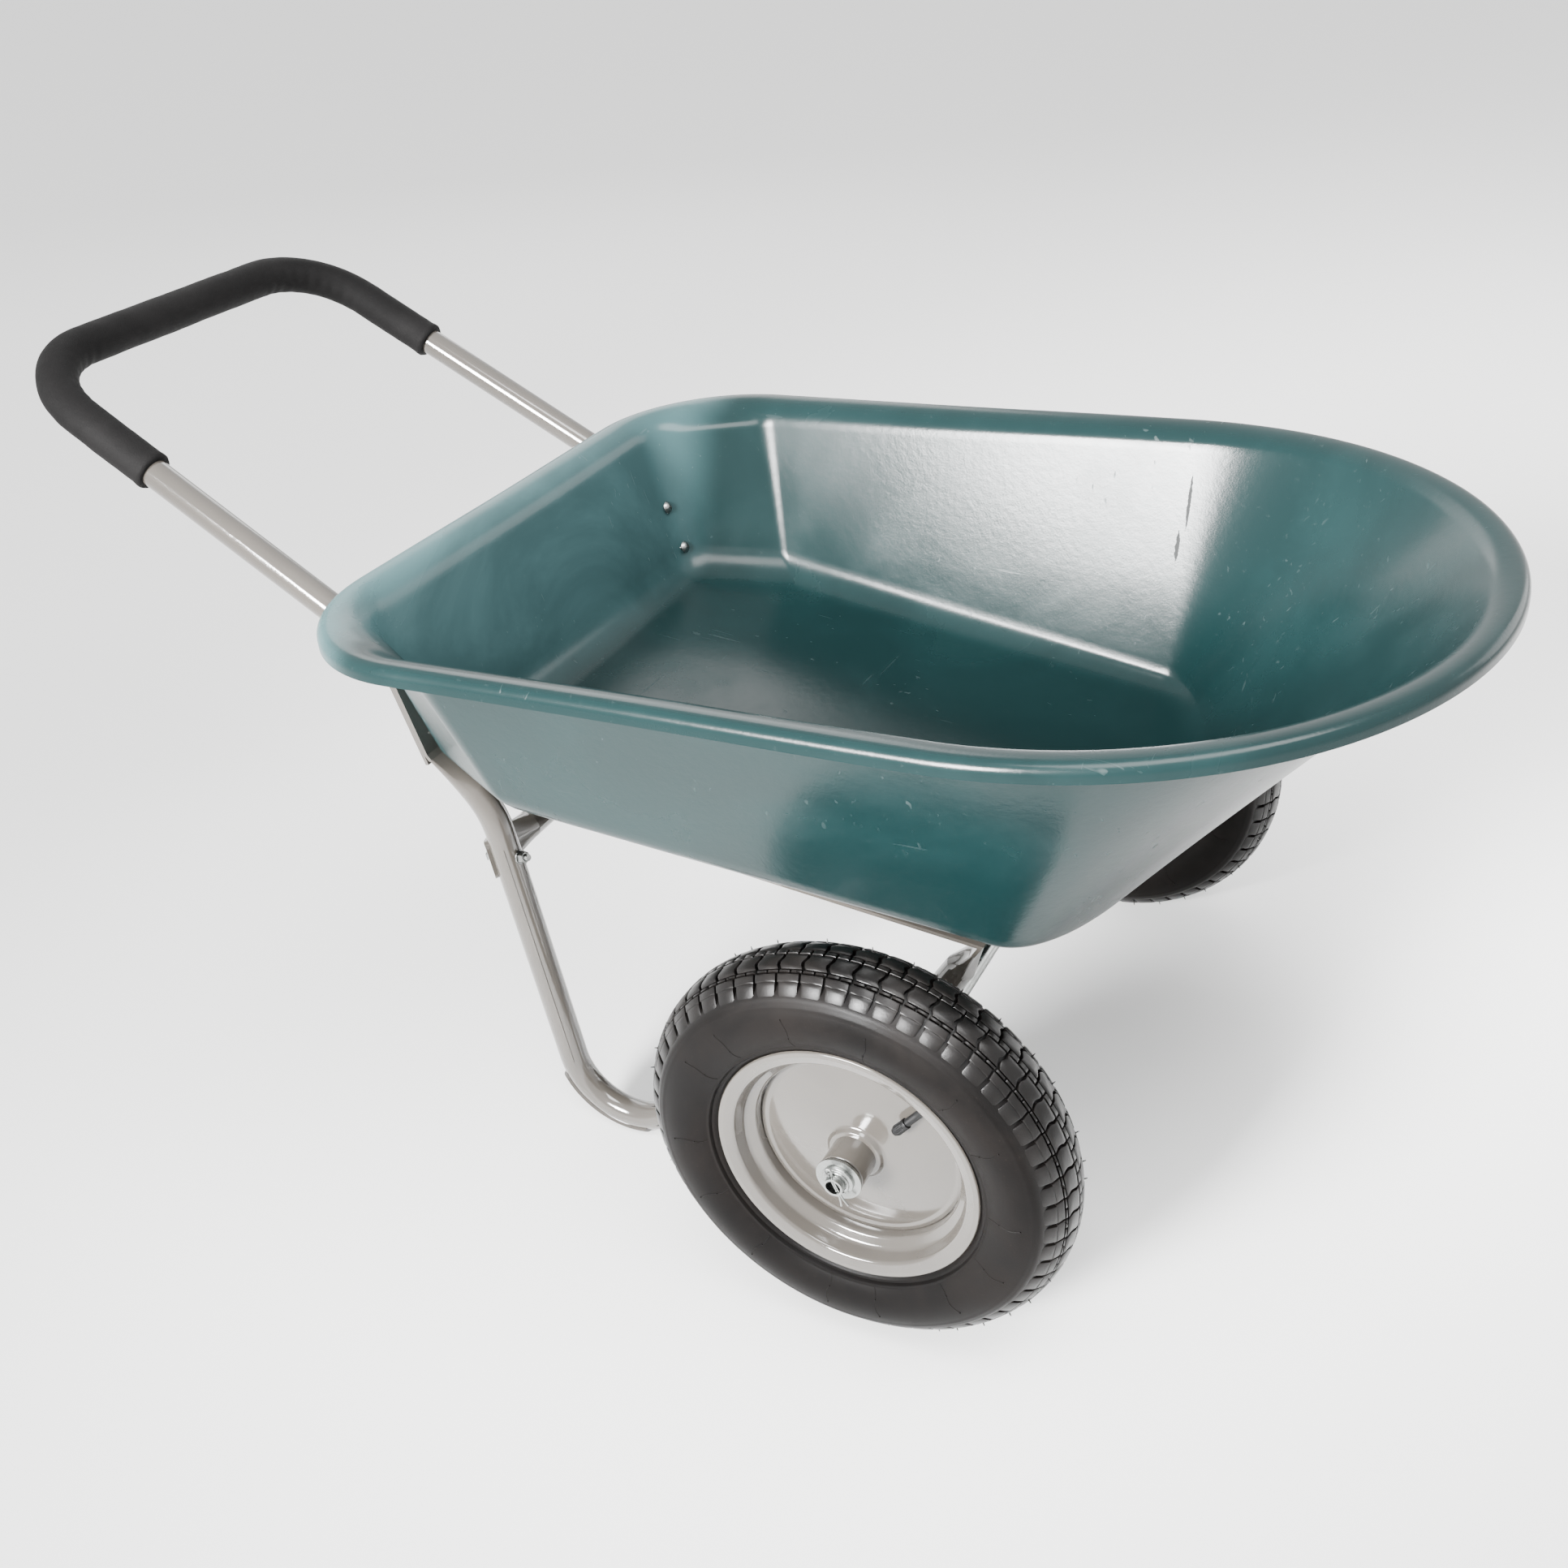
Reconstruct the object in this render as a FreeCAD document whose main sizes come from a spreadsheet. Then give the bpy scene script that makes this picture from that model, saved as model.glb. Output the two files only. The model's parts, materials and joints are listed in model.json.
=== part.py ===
import FreeCAD, Part
import math
import os

import Sketcher

# Two-wheeled garden wheelbarrow, in millimetres.
# +X points from the handle to the nose of the tray, +Y to the user's left, +Z up.
# The origin is on the ground, under the middle of the whole wheelbarrow.

Vector = FreeCAD.Vector
Y_AXIS = Vector(0, 1, 0)
Z_AXIS = Vector(0, 0, 1)
SIDES = {"right": -1, "left": 1}

DIMENSIONS = [
    # wheels
    ("tyre_radius", 180.0),
    ("tyre_section", 40.6),
    ("tyre_carcass", 4.6),
    ("tube_skin", 2.0),
    ("wheel_track", 623.0),
    ("rim_flange", 110.4),
    ("rim_seat", 101.0),
    ("rim_well", 88.5),
    ("rim_half_width", 30.7),
    ("rim_gauge", 1.8),
    ("disc_gauge", 2.0),
    ("disc_edge", 82.5),
    ("hub_radius", 18.5),
    ("hub_bore", 14.0),
    ("hub_half", 39.0),
    ("bush_flange", 1.5),
    ("bush_length", 18.0),
    ("running_clearance", 0.06),
    ("valve_offset", 4.3),
    ("valve_lean", 14.0),
    ("valve_stem", 3.3),
    ("valve_root", 4.6),
    ("valve_length", 49.0),
    ("valve_angle", 46.0),
    ("valve_cap", 4.5),
    ("cap_length", 14.0),
    # axle and what is on it
    ("axle_ahead", 219.0),
    ("axle_radius", 8.0),
    ("axle_bore", 6.2),
    ("axle_half", 364.2),
    ("axle_play", 0.3),
    ("boss_radius", 13.0),
    ("boss_half", 25.0),
    ("spacer_radius", 11.0),
    ("washer_radius", 19.0),
    ("washer_gauge", 2.2),
    ("collar_radius", 13.0),
    ("collar_step", 10.5),
    ("pin_radius", 1.6),
    # tubes
    ("tube_radius", 12.7),
    ("tube_wall", 1.5),
    ("side_offset", 200.0),
    ("press_gauge", 3.2),
    ("press_half", 18.5),
    ("press_length", 33.0),
    ("leg_press", 42.0),
    # handle
    ("handle_back", -609.1),
    ("handle_top", 662.3),
    ("handle_slope", 28.68),
    ("handle_half_back", 179.2),
    ("handle_bend", 74.0),
    ("grip_radius", 17.5),
    ("grip_front", -477.3),
    # side frames
    ("leg_angle", 8.8),
    ("leg_knee_height", 328.0),
    ("knee_bend", 80.0),
    ("foot_ahead", -75.2),
    ("foot_bend", 61.5),
    ("foot_gauge", 2.5),
    ("foot_wrap", 52.0),
    ("foot_plate_start", -158.0),
    ("foot_plate_sweep", 80.0),
    ("run_angle", 26.3),
    ("run_bend", 90.0),
    ("strut_angle", 57.4),
    ("strut_clear", 22.0),
    ("tongue_length", 305.0),
    ("brace_height", 283.0),
    ("brace_straight", 150.0),
    ("brace_wrap", 55.0),
    ("saddle_corner", 6.0),
    # tray
    ("tray_gauge", 3.5),
    ("floor_back", -211.0),
    ("floor_back_half", 240.9),
    ("floor_leg_along", 94.0),
    ("floor_leg_across", 40.0),
    ("floor_back_bend", 30.0),
    ("floor_side_bend", 16.0),
    ("floor_side_end", 291.4),
    ("floor_front_half", 217.8),
    ("floor_nose", 368.4),
    ("floor_back_height", 371.6),
    ("floor_nose_height", 316.6),
    ("floor_fillet", 34.0),
    ("wall_back", -253.8),
    ("wall_back_half", 286.4),
    ("wall_leg_along", 97.0),
    ("wall_leg_across", 62.0),
    ("wall_back_bend", 45.0),
    ("wall_side_bend", 18.0),
    ("brim_corner", 129.0),
    ("wall_side_end", 291.2),
    ("wall_front_half", 296.4),
    ("wall_nose", 593.0),
    ("wall_back_height", 516.5),
    ("wall_nose_height", 563.9),
    ("brim_reach", 24.4),
    ("brim_shoulder", 29.2),
    ("brim_edge", 9.2),
    ("brim_skirt", 5.0),
    # fasteners
    ("bolt_radius", 3.0),
    ("bolt_head", 6.2),
    ("bolt_head_height", 3.6),
    ("upper_bolt", 80.0),
    ("lower_bolt", 124.0),
    ("nut_flats", 10.0),
    ("nut_height", 5.0),
    ("flat_washer", 6.5),
    ("flat_washer_gauge", 1.2),
]

doc = FreeCAD.newDocument("wheelbarrow")
sheet = doc.addObject("Spreadsheet::Sheet", "dims")
for row, (alias, number) in enumerate(DIMENSIONS, start=1):
    sheet.set(f"A{row}", alias)
    sheet.set(f"B{row}", str(number))
    sheet.setAlias(f"B{row}", alias)
doc.recompute()

nodes = []


def dim(alias):
    return float(sheet.get(alias))


def value(text):
    """A length written as a sheet expression, as a plain number."""
    return float(sheet.evalExpression(text))


def add(kind, name, **bindings):
    """A document object with its sizes bound to the sheet."""
    thing = doc.addObject(kind, name)
    for prop, text in bindings.items():
        thing.setExpression(prop, text)
    return thing


def node(thing, label):
    """Marks an object as a finished piece and names its file."""
    thing.Label = label
    nodes.append(thing)
    return thing


def shaped(name, shape, placement=None):
    """A feature whose shape comes from Part's own functions."""
    thing = doc.addObject("Part::Feature", name)
    thing.Shape = shape
    if placement is not None:
        thing.Placement = placement
    return thing


def cut(name, base, tool):
    thing = doc.addObject("Part::Cut", name)
    thing.Base = base
    thing.Tool = tool
    return thing


def fuse(name, pieces):
    thing = doc.addObject("Part::MultiFuse", name)
    thing.Shapes = pieces
    return thing


# ---------------------------------------------------------------- sketches and bodies

def origin_plane(body, role):
    return next(item for item in body.Origin.OriginFeatures if item.Role == role)


def bind_point(sketch, edge, end, across, up):
    """Holds one end of a sketch edge at a place given by two sheet expressions."""
    for kind, axis, text in (("DistanceX", -2, across), ("DistanceY", -1, up)):
        number = value(text)
        if abs(number) < 1e-9:
            sketch.addConstraint(Sketcher.Constraint("PointOnObject", edge, end, axis))
            continue
        index = sketch.addConstraint(Sketcher.Constraint(kind, -1, 1, edge, end, number))
        sketch.setExpression(f"Constraints[{index}]", text)


def outline_sketch(body, name, role, corners):
    """Closed sketch through corners (across, up) or (across, up, radius), all sheet expressions.

    With a radius, the edge that leaves the corner is an arc that bulges to its left,
    or to its right if the radius is followed by "right".
    """
    sketch = body.newObject("Sketcher::SketchObject", name)
    sketch.AttachmentSupport = [(origin_plane(body, role), "")]
    sketch.MapMode = "FlatFace"
    places = [Vector(value(corner[0]), value(corner[1]), 0) for corner in corners]
    ends = []
    for index, corner in enumerate(corners):
        start = places[index]
        stop = places[(index + 1) % len(places)]
        if len(corner) == 2:
            edge = sketch.addGeometry(Part.LineSegment(start, stop), False)
            ends.append((edge, 1, 2))
            continue
        radius = value(corner[2])
        chord = stop - start
        left = Vector(-chord.y, chord.x, 0).normalize()
        sagitta_leg = math.sqrt(radius ** 2 - (chord.Length / 2) ** 2)
        bulge = -1 if corner[-1] == "right" else 1
        centre = (start + stop) * 0.5 - left * (sagitta_leg * bulge)
        first = math.atan2(stop.y - centre.y, stop.x - centre.x)
        last = math.atan2(start.y - centre.y, start.x - centre.x)
        if bulge < 0:
            first, last = last, first
        circle = Part.Circle(centre, Z_AXIS, radius)
        edge = sketch.addGeometry(Part.ArcOfCircle(circle, first, last), False)
        ends.append((edge, 2, 1) if bulge > 0 else (edge, 1, 2))
        number = sketch.addConstraint(Sketcher.Constraint("Radius", edge, radius))
        sketch.setExpression(f"Constraints[{number}]", corner[2])
    for index, corner in enumerate(corners):
        edge, start_end, _ = ends[index]
        before, _, stop_end = ends[index - 1]
        bind_point(sketch, edge, start_end, corner[0], corner[1])
        sketch.addConstraint(Sketcher.Constraint("Coincident", before, stop_end, edge, start_end))
    return sketch


def circle_sketch(body, name, role, radii):
    """Concentric circles about the body's origin, with radii given as sheet expressions."""
    sketch = body.newObject("Sketcher::SketchObject", name)
    sketch.AttachmentSupport = [(origin_plane(body, role), "")]
    sketch.MapMode = "FlatFace"
    for text in radii:
        edge = sketch.addGeometry(Part.Circle(Vector(0, 0, 0), Z_AXIS, value(text)), False)
        sketch.addConstraint(Sketcher.Constraint("Coincident", edge, 3, -1, 1))
        index = sketch.addConstraint(Sketcher.Constraint("Radius", edge, value(text)))
        sketch.setExpression(f"Constraints[{index}]", text)
    return sketch


def turned_body(name, corners, mirrored=False):
    """A body turned about its own Y axis from an outline of (along Y, radius) corners."""
    body = doc.addObject("PartDesign::Body", name)
    sketch = outline_sketch(body, name + "_profile", "YZ_Plane", corners)
    turn = body.newObject("PartDesign::Revolution", name + "_turn")
    turn.Profile = sketch
    turn.ReferenceAxis = (sketch, ["H_Axis"])
    turn.Angle = 360
    doc.recompute()
    if mirrored:
        mirror = body.newObject("PartDesign::Mirrored", name + "_mirror")
        mirror.Originals = [turn]
        mirror.MirrorPlane = (origin_plane(body, "XZ_Plane"), [""])
        body.Tip = mirror
    return body


def ring_body(name, radii, length):
    """A plain ring or tube centred on its own Y axis."""
    body = doc.addObject("PartDesign::Body", name)
    sketch = circle_sketch(body, name + "_circles", "XZ_Plane", radii)
    pad = body.newObject("PartDesign::Pad", name + "_pad")
    pad.Profile = sketch
    pad.setExpression("Length", length)
    pad.Midplane = True
    return body


def place(thing, x="0", y="0", z="0", turn_z=0.0):
    """Puts an object at sheet expressions, turned about the vertical."""
    thing.Placement = FreeCAD.Placement(Vector(0, 0, 0), FreeCAD.Rotation(Z_AXIS, turn_z))
    thing.setExpression("Placement.Base.x", x)
    thing.setExpression("Placement.Base.y", y)
    thing.setExpression("Placement.Base.z", z)


# ---------------------------------------------------------------- bent and pressed tubes

def bent_path(points, radii):
    """Straight runs through the points, with an arc of the given radius at each inner one."""
    edges = []
    here = points[0]
    for before, corner, after, radius in zip(points, points[1:], points[2:], radii):
        inward = (corner - before).normalize()
        outward = (after - corner).normalize()
        turn = inward.getAngle(outward)
        reach = radius * math.tan(turn / 2)
        start = corner - inward * reach
        stop = corner + outward * reach
        to_centre = (outward - inward).normalize()
        centre = corner + to_centre * (radius / math.cos(turn / 2))
        middle = centre - to_centre * radius
        edges.append(Part.LineSegment(here, start).toShape())
        edges.append(Part.Arc(start, middle, stop).toShape())
        here = stop
    edges.append(Part.LineSegment(here, points[-1]).toShape())
    return Part.Wire(edges)


def swept(name, path, radius):
    """A round bar of the given radius expression along a path object."""
    start = path.Shape.OrderedVertexes[0].Point
    first = path.Shape.OrderedEdges[0]
    along = first.tangentAt(first.FirstParameter)
    ring = add("Part::Circle", name + "_ring", Radius=radius)
    ring.Placement = FreeCAD.Placement(start, FreeCAD.Rotation(Z_AXIS, along))
    sweep = doc.addObject("Part::Sweep", name)
    sweep.Sections = [ring]
    sweep.Spine = (path, [])
    sweep.Solid = True
    sweep.Frenet = False
    return sweep


def hollow_tube(name, path, outer, inner):
    return cut(name, swept(name + "_skin", path, outer), swept(name + "_bore", path, inner))


def round_ring(centre, along, radius, split):
    """A circle as four arcs that match a pressed section's two flats and two round edges."""
    up = along.cross(Y_AXIS).normalize()
    side = up.cross(along).normalize()
    angles = [split, math.pi - split, math.pi + split, 2 * math.pi - split]
    corners = [centre + side * (radius * math.cos(a)) + up * (radius * math.sin(a)) for a in angles]
    middles = [centre + up * radius, centre - side * radius, centre - up * radius, centre + side * radius]
    edges = []
    for index in range(4):
        stop = corners[(index + 1) % 4]
        edges.append(Part.Arc(corners[index], middles[index], stop).toShape())
    return Part.Wire(edges)


def pressed_ring(centre, along, half_width, half_gauge):
    """The outline of a tube pressed flat: two straight sides and two round edges."""
    up = along.cross(Y_AXIS).normalize()
    side = up.cross(along).normalize()
    reach = half_width - half_gauge
    corners = [
        centre + side * reach + up * half_gauge,
        centre - side * reach + up * half_gauge,
        centre - side * reach - up * half_gauge,
        centre + side * reach - up * half_gauge,
    ]
    return Part.Wire([
        Part.LineSegment(corners[0], corners[1]).toShape(),
        Part.Arc(corners[1], centre - side * half_width, corners[2]).toShape(),
        Part.LineSegment(corners[2], corners[3]).toShape(),
        Part.Arc(corners[3], centre + side * half_width, corners[0]).toShape(),
    ])


def pressing(tube_end, tube_along, flat_end, flat_along):
    """The stretch where a round tube is pressed down to a flat strip."""
    split = math.radians(25)
    start = round_ring(tube_end, tube_along, dim("tube_radius"), split)
    stop = pressed_ring(flat_end, flat_along, dim("press_half"), dim("press_gauge") / 2)
    return Part.makeLoft([start, stop], True, True)


def strip(points, half_width, gauge):
    """A flat strip that follows points in one XZ plane, with mitred folds."""
    normals = []
    for start, stop in zip(points, points[1:]):
        along = (stop - start).normalize()
        normals.append(along.cross(Y_AXIS).normalize())
    offsets = [normals[0]]
    for before, after in zip(normals, normals[1:]):
        middle = (before + after).normalize()
        offsets.append(middle * (1 / middle.dot(before)))
    offsets.append(normals[-1])
    over = [point + shift * (gauge / 2) for point, shift in zip(points, offsets)]
    under = [point - shift * (gauge / 2) for point, shift in zip(points, offsets)]
    outline = Part.makePolygon(over + under[::-1] + [over[0]])
    face = Part.Face(outline)
    face.translate(Y_AXIS * -half_width)
    return face.extrude(Y_AXIS * (2 * half_width))


# ---------------------------------------------------------------- tray

WALL_TOP = Vector(dim("wall_back"), 0, dim("wall_back_height"))
WALL_FOOT = Vector(dim("floor_back"), 0, dim("floor_back_height"))
WALL_DOWN = (WALL_FOOT - WALL_TOP).normalize()
WALL_OUT = Vector(WALL_DOWN.z, 0, -WALL_DOWN.x)


def tray_outline(back, back_half, corner, side_end, front_half, nose, back_height, nose_height):
    """A closed tray outline: straight back, bevelled corners, straight sides and an elliptic nose.

    corner holds the bevel's legs along and across the tray, and the bends at its two ends.
    """
    def lifted(x, y):
        share = (x - back) / (nose - back)
        return Vector(x, y, back_height + share * (nose_height - back_height))

    def conic(start, apex, stop, weight):
        curve = Part.BezierCurve()
        curve.setPoles([start, apex, stop])
        curve.setWeight(2, weight)
        return curve.toShape()

    along, across, back_bend, side_bend = corner
    slant = math.atan2(along, across)
    back_reach = back_bend * math.tan(slant / 2)
    side_reach = side_bend * math.tan((math.pi / 2 - slant) / 2)
    flat = back_half - across - back_reach
    edges = [Part.LineSegment(lifted(back, -flat), lifted(back, flat)).toShape()]
    for side in (1, -1):
        leave = lifted(back, side * flat)
        heel = lifted(back, side * (back_half - across))
        heel_end = lifted(back + back_reach * math.sin(slant),
                          side * (back_half - across + back_reach * math.cos(slant)))
        hip = lifted(back + along, side * back_half)
        hip_start = lifted(back + along - side_reach * math.sin(slant),
                           side * (back_half - side_reach * math.cos(slant)))
        turned = lifted(back + along + side_reach, side * back_half)
        shoulder = lifted(side_end, side * front_half)
        flank = [
            conic(leave, heel, heel_end, math.cos(slant / 2)),
            Part.LineSegment(heel_end, hip_start).toShape(),
            conic(hip_start, hip, turned, math.cos((math.pi / 2 - slant) / 2)),
            Part.LineSegment(turned, shoulder).toShape(),
            conic(shoulder, lifted(nose, side * front_half), lifted(nose, 0), math.sqrt(0.5)),
        ]
        edges += flank if side == 1 else flank[::-1]
    return Part.Wire(edges)


def tray_corner(name, out, share):
    """The bevel of one level's back corners, which the brim's shoulder turns into a round one."""
    sizes = [dim(f"{name}_{part}") for part in ("leg_along", "leg_across", "back_bend", "side_bend")]
    bevelled = sizes[:2] + [max(size + out, 8) for size in sizes[2:]]
    radius = dim("brim_corner") + out - dim("brim_reach")
    leg = radius * (2 - math.sqrt(2))
    rounded = [leg, leg, radius * 0.97, radius * 0.97]
    return [low + share * (high - low) for low, high in zip(bevelled, rounded)]


def wall_lean(run, rise):
    return math.atan2(run, rise)


def tray_section(lean, skin):
    """The tray's section for a wall that leans out, as (foot or top, outwards, up, roundness) steps.

    skin is 0 on the inner face and the wall's gauge on the outer face. Roundness says how far
    the bevelled back corners have turned into the brim's round ones.
    """
    fillet = dim("floor_fillet")
    reach = fillet * math.tan((math.pi / 2 - lean) / 2)
    steps = []
    for part in range(5):
        turn = part / 4 * (math.pi / 2 - lean)
        radius = fillet + skin
        steps.append(("foot", -reach + radius * math.sin(turn), fillet - radius * math.cos(turn), 0))
    shoulder = dim("brim_shoulder")
    edge = dim("brim_edge")
    crown = dim("brim_reach")
    for part in range(5):
        turn = part / 4 * (math.pi / 2 - lean)
        radius = shoulder - skin
        across = crown - radius * math.cos(lean + turn)
        steps.append(("top", across, edge - shoulder + radius * math.sin(lean + turn), part / 4))
    for part in range(1, 4):
        turn = part / 3 * math.pi / 2
        radius = edge - skin
        steps.append(("top", crown + radius * math.sin(turn), radius * math.cos(turn), 1))
    steps.append(("top", crown + edge - skin, -dim("brim_skirt"), 1))
    return steps


def tray_levels(skin):
    """Closed outlines from the floor up the wall and over the brim, on one face of the sheet."""
    rise_back = dim("wall_back_height") - dim("floor_back_height")
    rise_nose = dim("wall_nose_height") - dim("floor_nose_height")
    back = tray_section(wall_lean(dim("floor_back") - dim("wall_back"), rise_back), skin)
    flank_run = (dim("wall_back_half") + dim("wall_front_half") - dim("floor_back_half")
                 - dim("floor_front_half")) / 2
    flank = tray_section(wall_lean(flank_run, (rise_back + rise_nose) / 2), skin)
    nose = tray_section(wall_lean(dim("wall_nose") - dim("floor_nose"), rise_nose), skin)
    levels = []
    for at_back, at_flank, at_nose in zip(back, flank, nose):
        name = "floor" if at_back[0] == "foot" else "wall"
        climb = dim(name + "_nose_height") - dim(name + "_back_height")
        climb /= dim(name + "_nose") - dim(name + "_back")
        levels.append(tray_outline(
            dim(name + "_back") - at_back[1],
            dim(name + "_back_half") + at_flank[1],
            tray_corner(name, at_flank[1], at_flank[3]),
            dim(name + "_side_end"),
            dim(name + "_front_half") + at_flank[1],
            dim(name + "_nose") + at_nose[1],
            dim(name + "_back_height") - climb * at_back[1] + at_back[2],
            dim(name + "_nose_height") + climb * at_nose[1] + at_nose[2]))
    return levels


def tray_shell():
    inner = tray_levels(0)
    outer = tray_levels(dim("tray_gauge"))
    skin = Part.makeLoft(inner + outer[::-1], False, True)
    faces = skin.Faces + [Part.Face(inner[0]), Part.Face(outer[0])]
    shell = Part.Shell(faces)
    shell.sewShape()
    solid = Part.Solid(shell)
    if solid.Volume < 0:
        solid.reverse()
    return solid


def wall_point(down, out, y):
    """A place on the tray's rear wall: down from its top edge and out from its inner face."""
    return WALL_TOP + WALL_DOWN * down + WALL_OUT * out + Y_AXIS * y


def bolt_places():
    for side in SIDES.values():
        for down in (dim("upper_bolt"), dim("lower_bolt")):
            yield side * dim("side_offset"), down


def rods(places, along, radius, start, stop):
    """Solid rods of one radius, from start to stop along one direction at each place."""
    return [Part.makeCylinder(radius, stop - start, spot + along * start, along) for spot in places]


def build_tray():
    shell = shaped("tray_shell", tray_shell())
    spots = [wall_point(down, 0, y) for y, down in bolt_places()]
    holes = rods(spots, WALL_OUT, dim("bolt_radius") + 0.3, -30, 30)
    drill = shaped("tray_drill", Part.makeCompound(holes))
    node(cut("tray_drilled", shell, drill), "tray")


# ---------------------------------------------------------------- handle

PRESS = dim("press_length")
LEG_STRIP_OUT = dim("tray_gauge") + 0.1 + dim("press_gauge") / 2
HANDLE_STRIP_OUT = LEG_STRIP_OUT + dim("press_gauge") + 0.1


def handle_corner(side):
    return Vector(dim("handle_back"), side * dim("handle_half_back"), dim("handle_top"))


def handle_fold(side):
    """Where the handle's sloping axis meets the strip that lies on the rear wall."""
    slope = math.tan(math.radians(dim("handle_slope")))
    start = wall_point(0, HANDLE_STRIP_OUT, 0)
    gap = start.z - (dim("handle_top") - slope * (start.x - dim("handle_back")))
    down = gap / (-WALL_DOWN.z - slope * WALL_DOWN.x)
    return start + WALL_DOWN * down + Y_AXIS * (side * dim("side_offset"))


def handle_route(front):
    """The handle's centre line, with both front ends drawn back from the fold by a distance."""
    points = []
    for side in (-1, 1):
        corner = handle_corner(side)
        fold = handle_fold(side)
        back = (corner - fold).normalize()
        pair = [fold + back * front, corner]
        points += pair if side == -1 else pair[::-1]
    return bent_path(points, [dim("handle_bend")] * 2)


def build_handle():
    path = shaped("handle_path", handle_route(PRESS + 12))
    pieces = [hollow_tube("handle_round", path, "dims.tube_radius", "dims.tube_radius - dims.tube_wall")]
    for name, side in SIDES.items():
        fold = handle_fold(side)
        back = (handle_corner(side) - fold).normalize()
        flat_back = Vector(back.x, 0, back.z).normalize()
        end = wall_point(145, HANDLE_STRIP_OUT, side * dim("side_offset"))
        strap = strip([fold + flat_back * 12, fold, end], dim("press_half"), dim("press_gauge"))
        press = pressing(fold + back * (PRESS + 12), back, fold + flat_back * 12, flat_back)
        pieces.append(shaped("handle_press_" + name, press))
        pieces.append(shaped("handle_strap_" + name, strap))
    whole = fuse("handle_whole", pieces)
    spots = [wall_point(down, HANDLE_STRIP_OUT, y) for y, down in bolt_places()]
    holes = rods(spots, WALL_OUT, dim("bolt_radius") + 0.3, -3, 3)
    node(cut("handle_drilled", whole, shaped("handle_drill", Part.makeCompound(holes))), "handle_tube")


def build_grip():
    along = (handle_fold(1) - handle_corner(1)).normalize()
    length = (dim("grip_front") - dim("handle_back")) / along.x
    front = (handle_fold(1) - handle_corner(1)).Length - length
    path = shaped("grip_path", handle_route(front))
    node(hollow_tube("grip_sleeve", path, "dims.grip_radius", "dims.tube_radius + 0.05"), "handle_grip")


# ---------------------------------------------------------------- side frames

LEG_DOWN = Vector(math.sin(math.radians(dim("leg_angle"))), 0, -math.cos(math.radians(dim("leg_angle"))))
RUN_UP = Vector(math.cos(math.radians(dim("run_angle"))), 0, math.sin(math.radians(dim("run_angle"))))
STRUT_UP = Vector(math.cos(math.radians(dim("strut_angle"))), 0, math.sin(math.radians(dim("strut_angle"))))
AXLE = Vector(dim("axle_ahead"), 0, dim("tyre_radius"))
FOOT_CENTRE = Vector(dim("foot_ahead"), 0, dim("foot_gauge") + dim("tube_radius") + dim("foot_bend"))


def crossing(point_a, along_a, point_b, along_b):
    """Where two lines in the XZ plane meet."""
    gap = point_b - point_a
    turn = along_a.x * along_b.z - along_a.z * along_b.x
    return point_a + along_a * ((gap.x * along_b.z - gap.z * along_b.x) / turn)


def frame_corners():
    """Corners of the side frame's centre line in its own plane, from the wall strip to the fold."""
    foot_turn = LEG_DOWN.getAngle(RUN_UP)
    below = (LEG_DOWN - RUN_UP).normalize()
    foot = FOOT_CENTRE + below * (dim("foot_bend") / math.cos(foot_turn / 2))
    knee = foot - LEG_DOWN * ((dim("leg_knee_height") - foot.z) / -LEG_DOWN.z)
    strip_end = wall_point(136, LEG_STRIP_OUT, 0)
    strut_side = Vector(-STRUT_UP.z, 0, STRUT_UP.x)
    bend = crossing(foot, RUN_UP, AXLE + strut_side * dim("strut_clear"), STRUT_UP)
    floor_fall = (dim("floor_nose_height") - dim("floor_back_height")) / (dim("floor_nose") - dim("floor_back"))
    floor_along = Vector(1, 0, floor_fall).normalize()
    under = dim("tray_gauge") + 0.1 + dim("press_gauge") / 2
    fold = crossing(bend, STRUT_UP, WALL_FOOT - Z_AXIS * under, floor_along)
    return strip_end, knee, foot, bend, fold, floor_along


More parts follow.
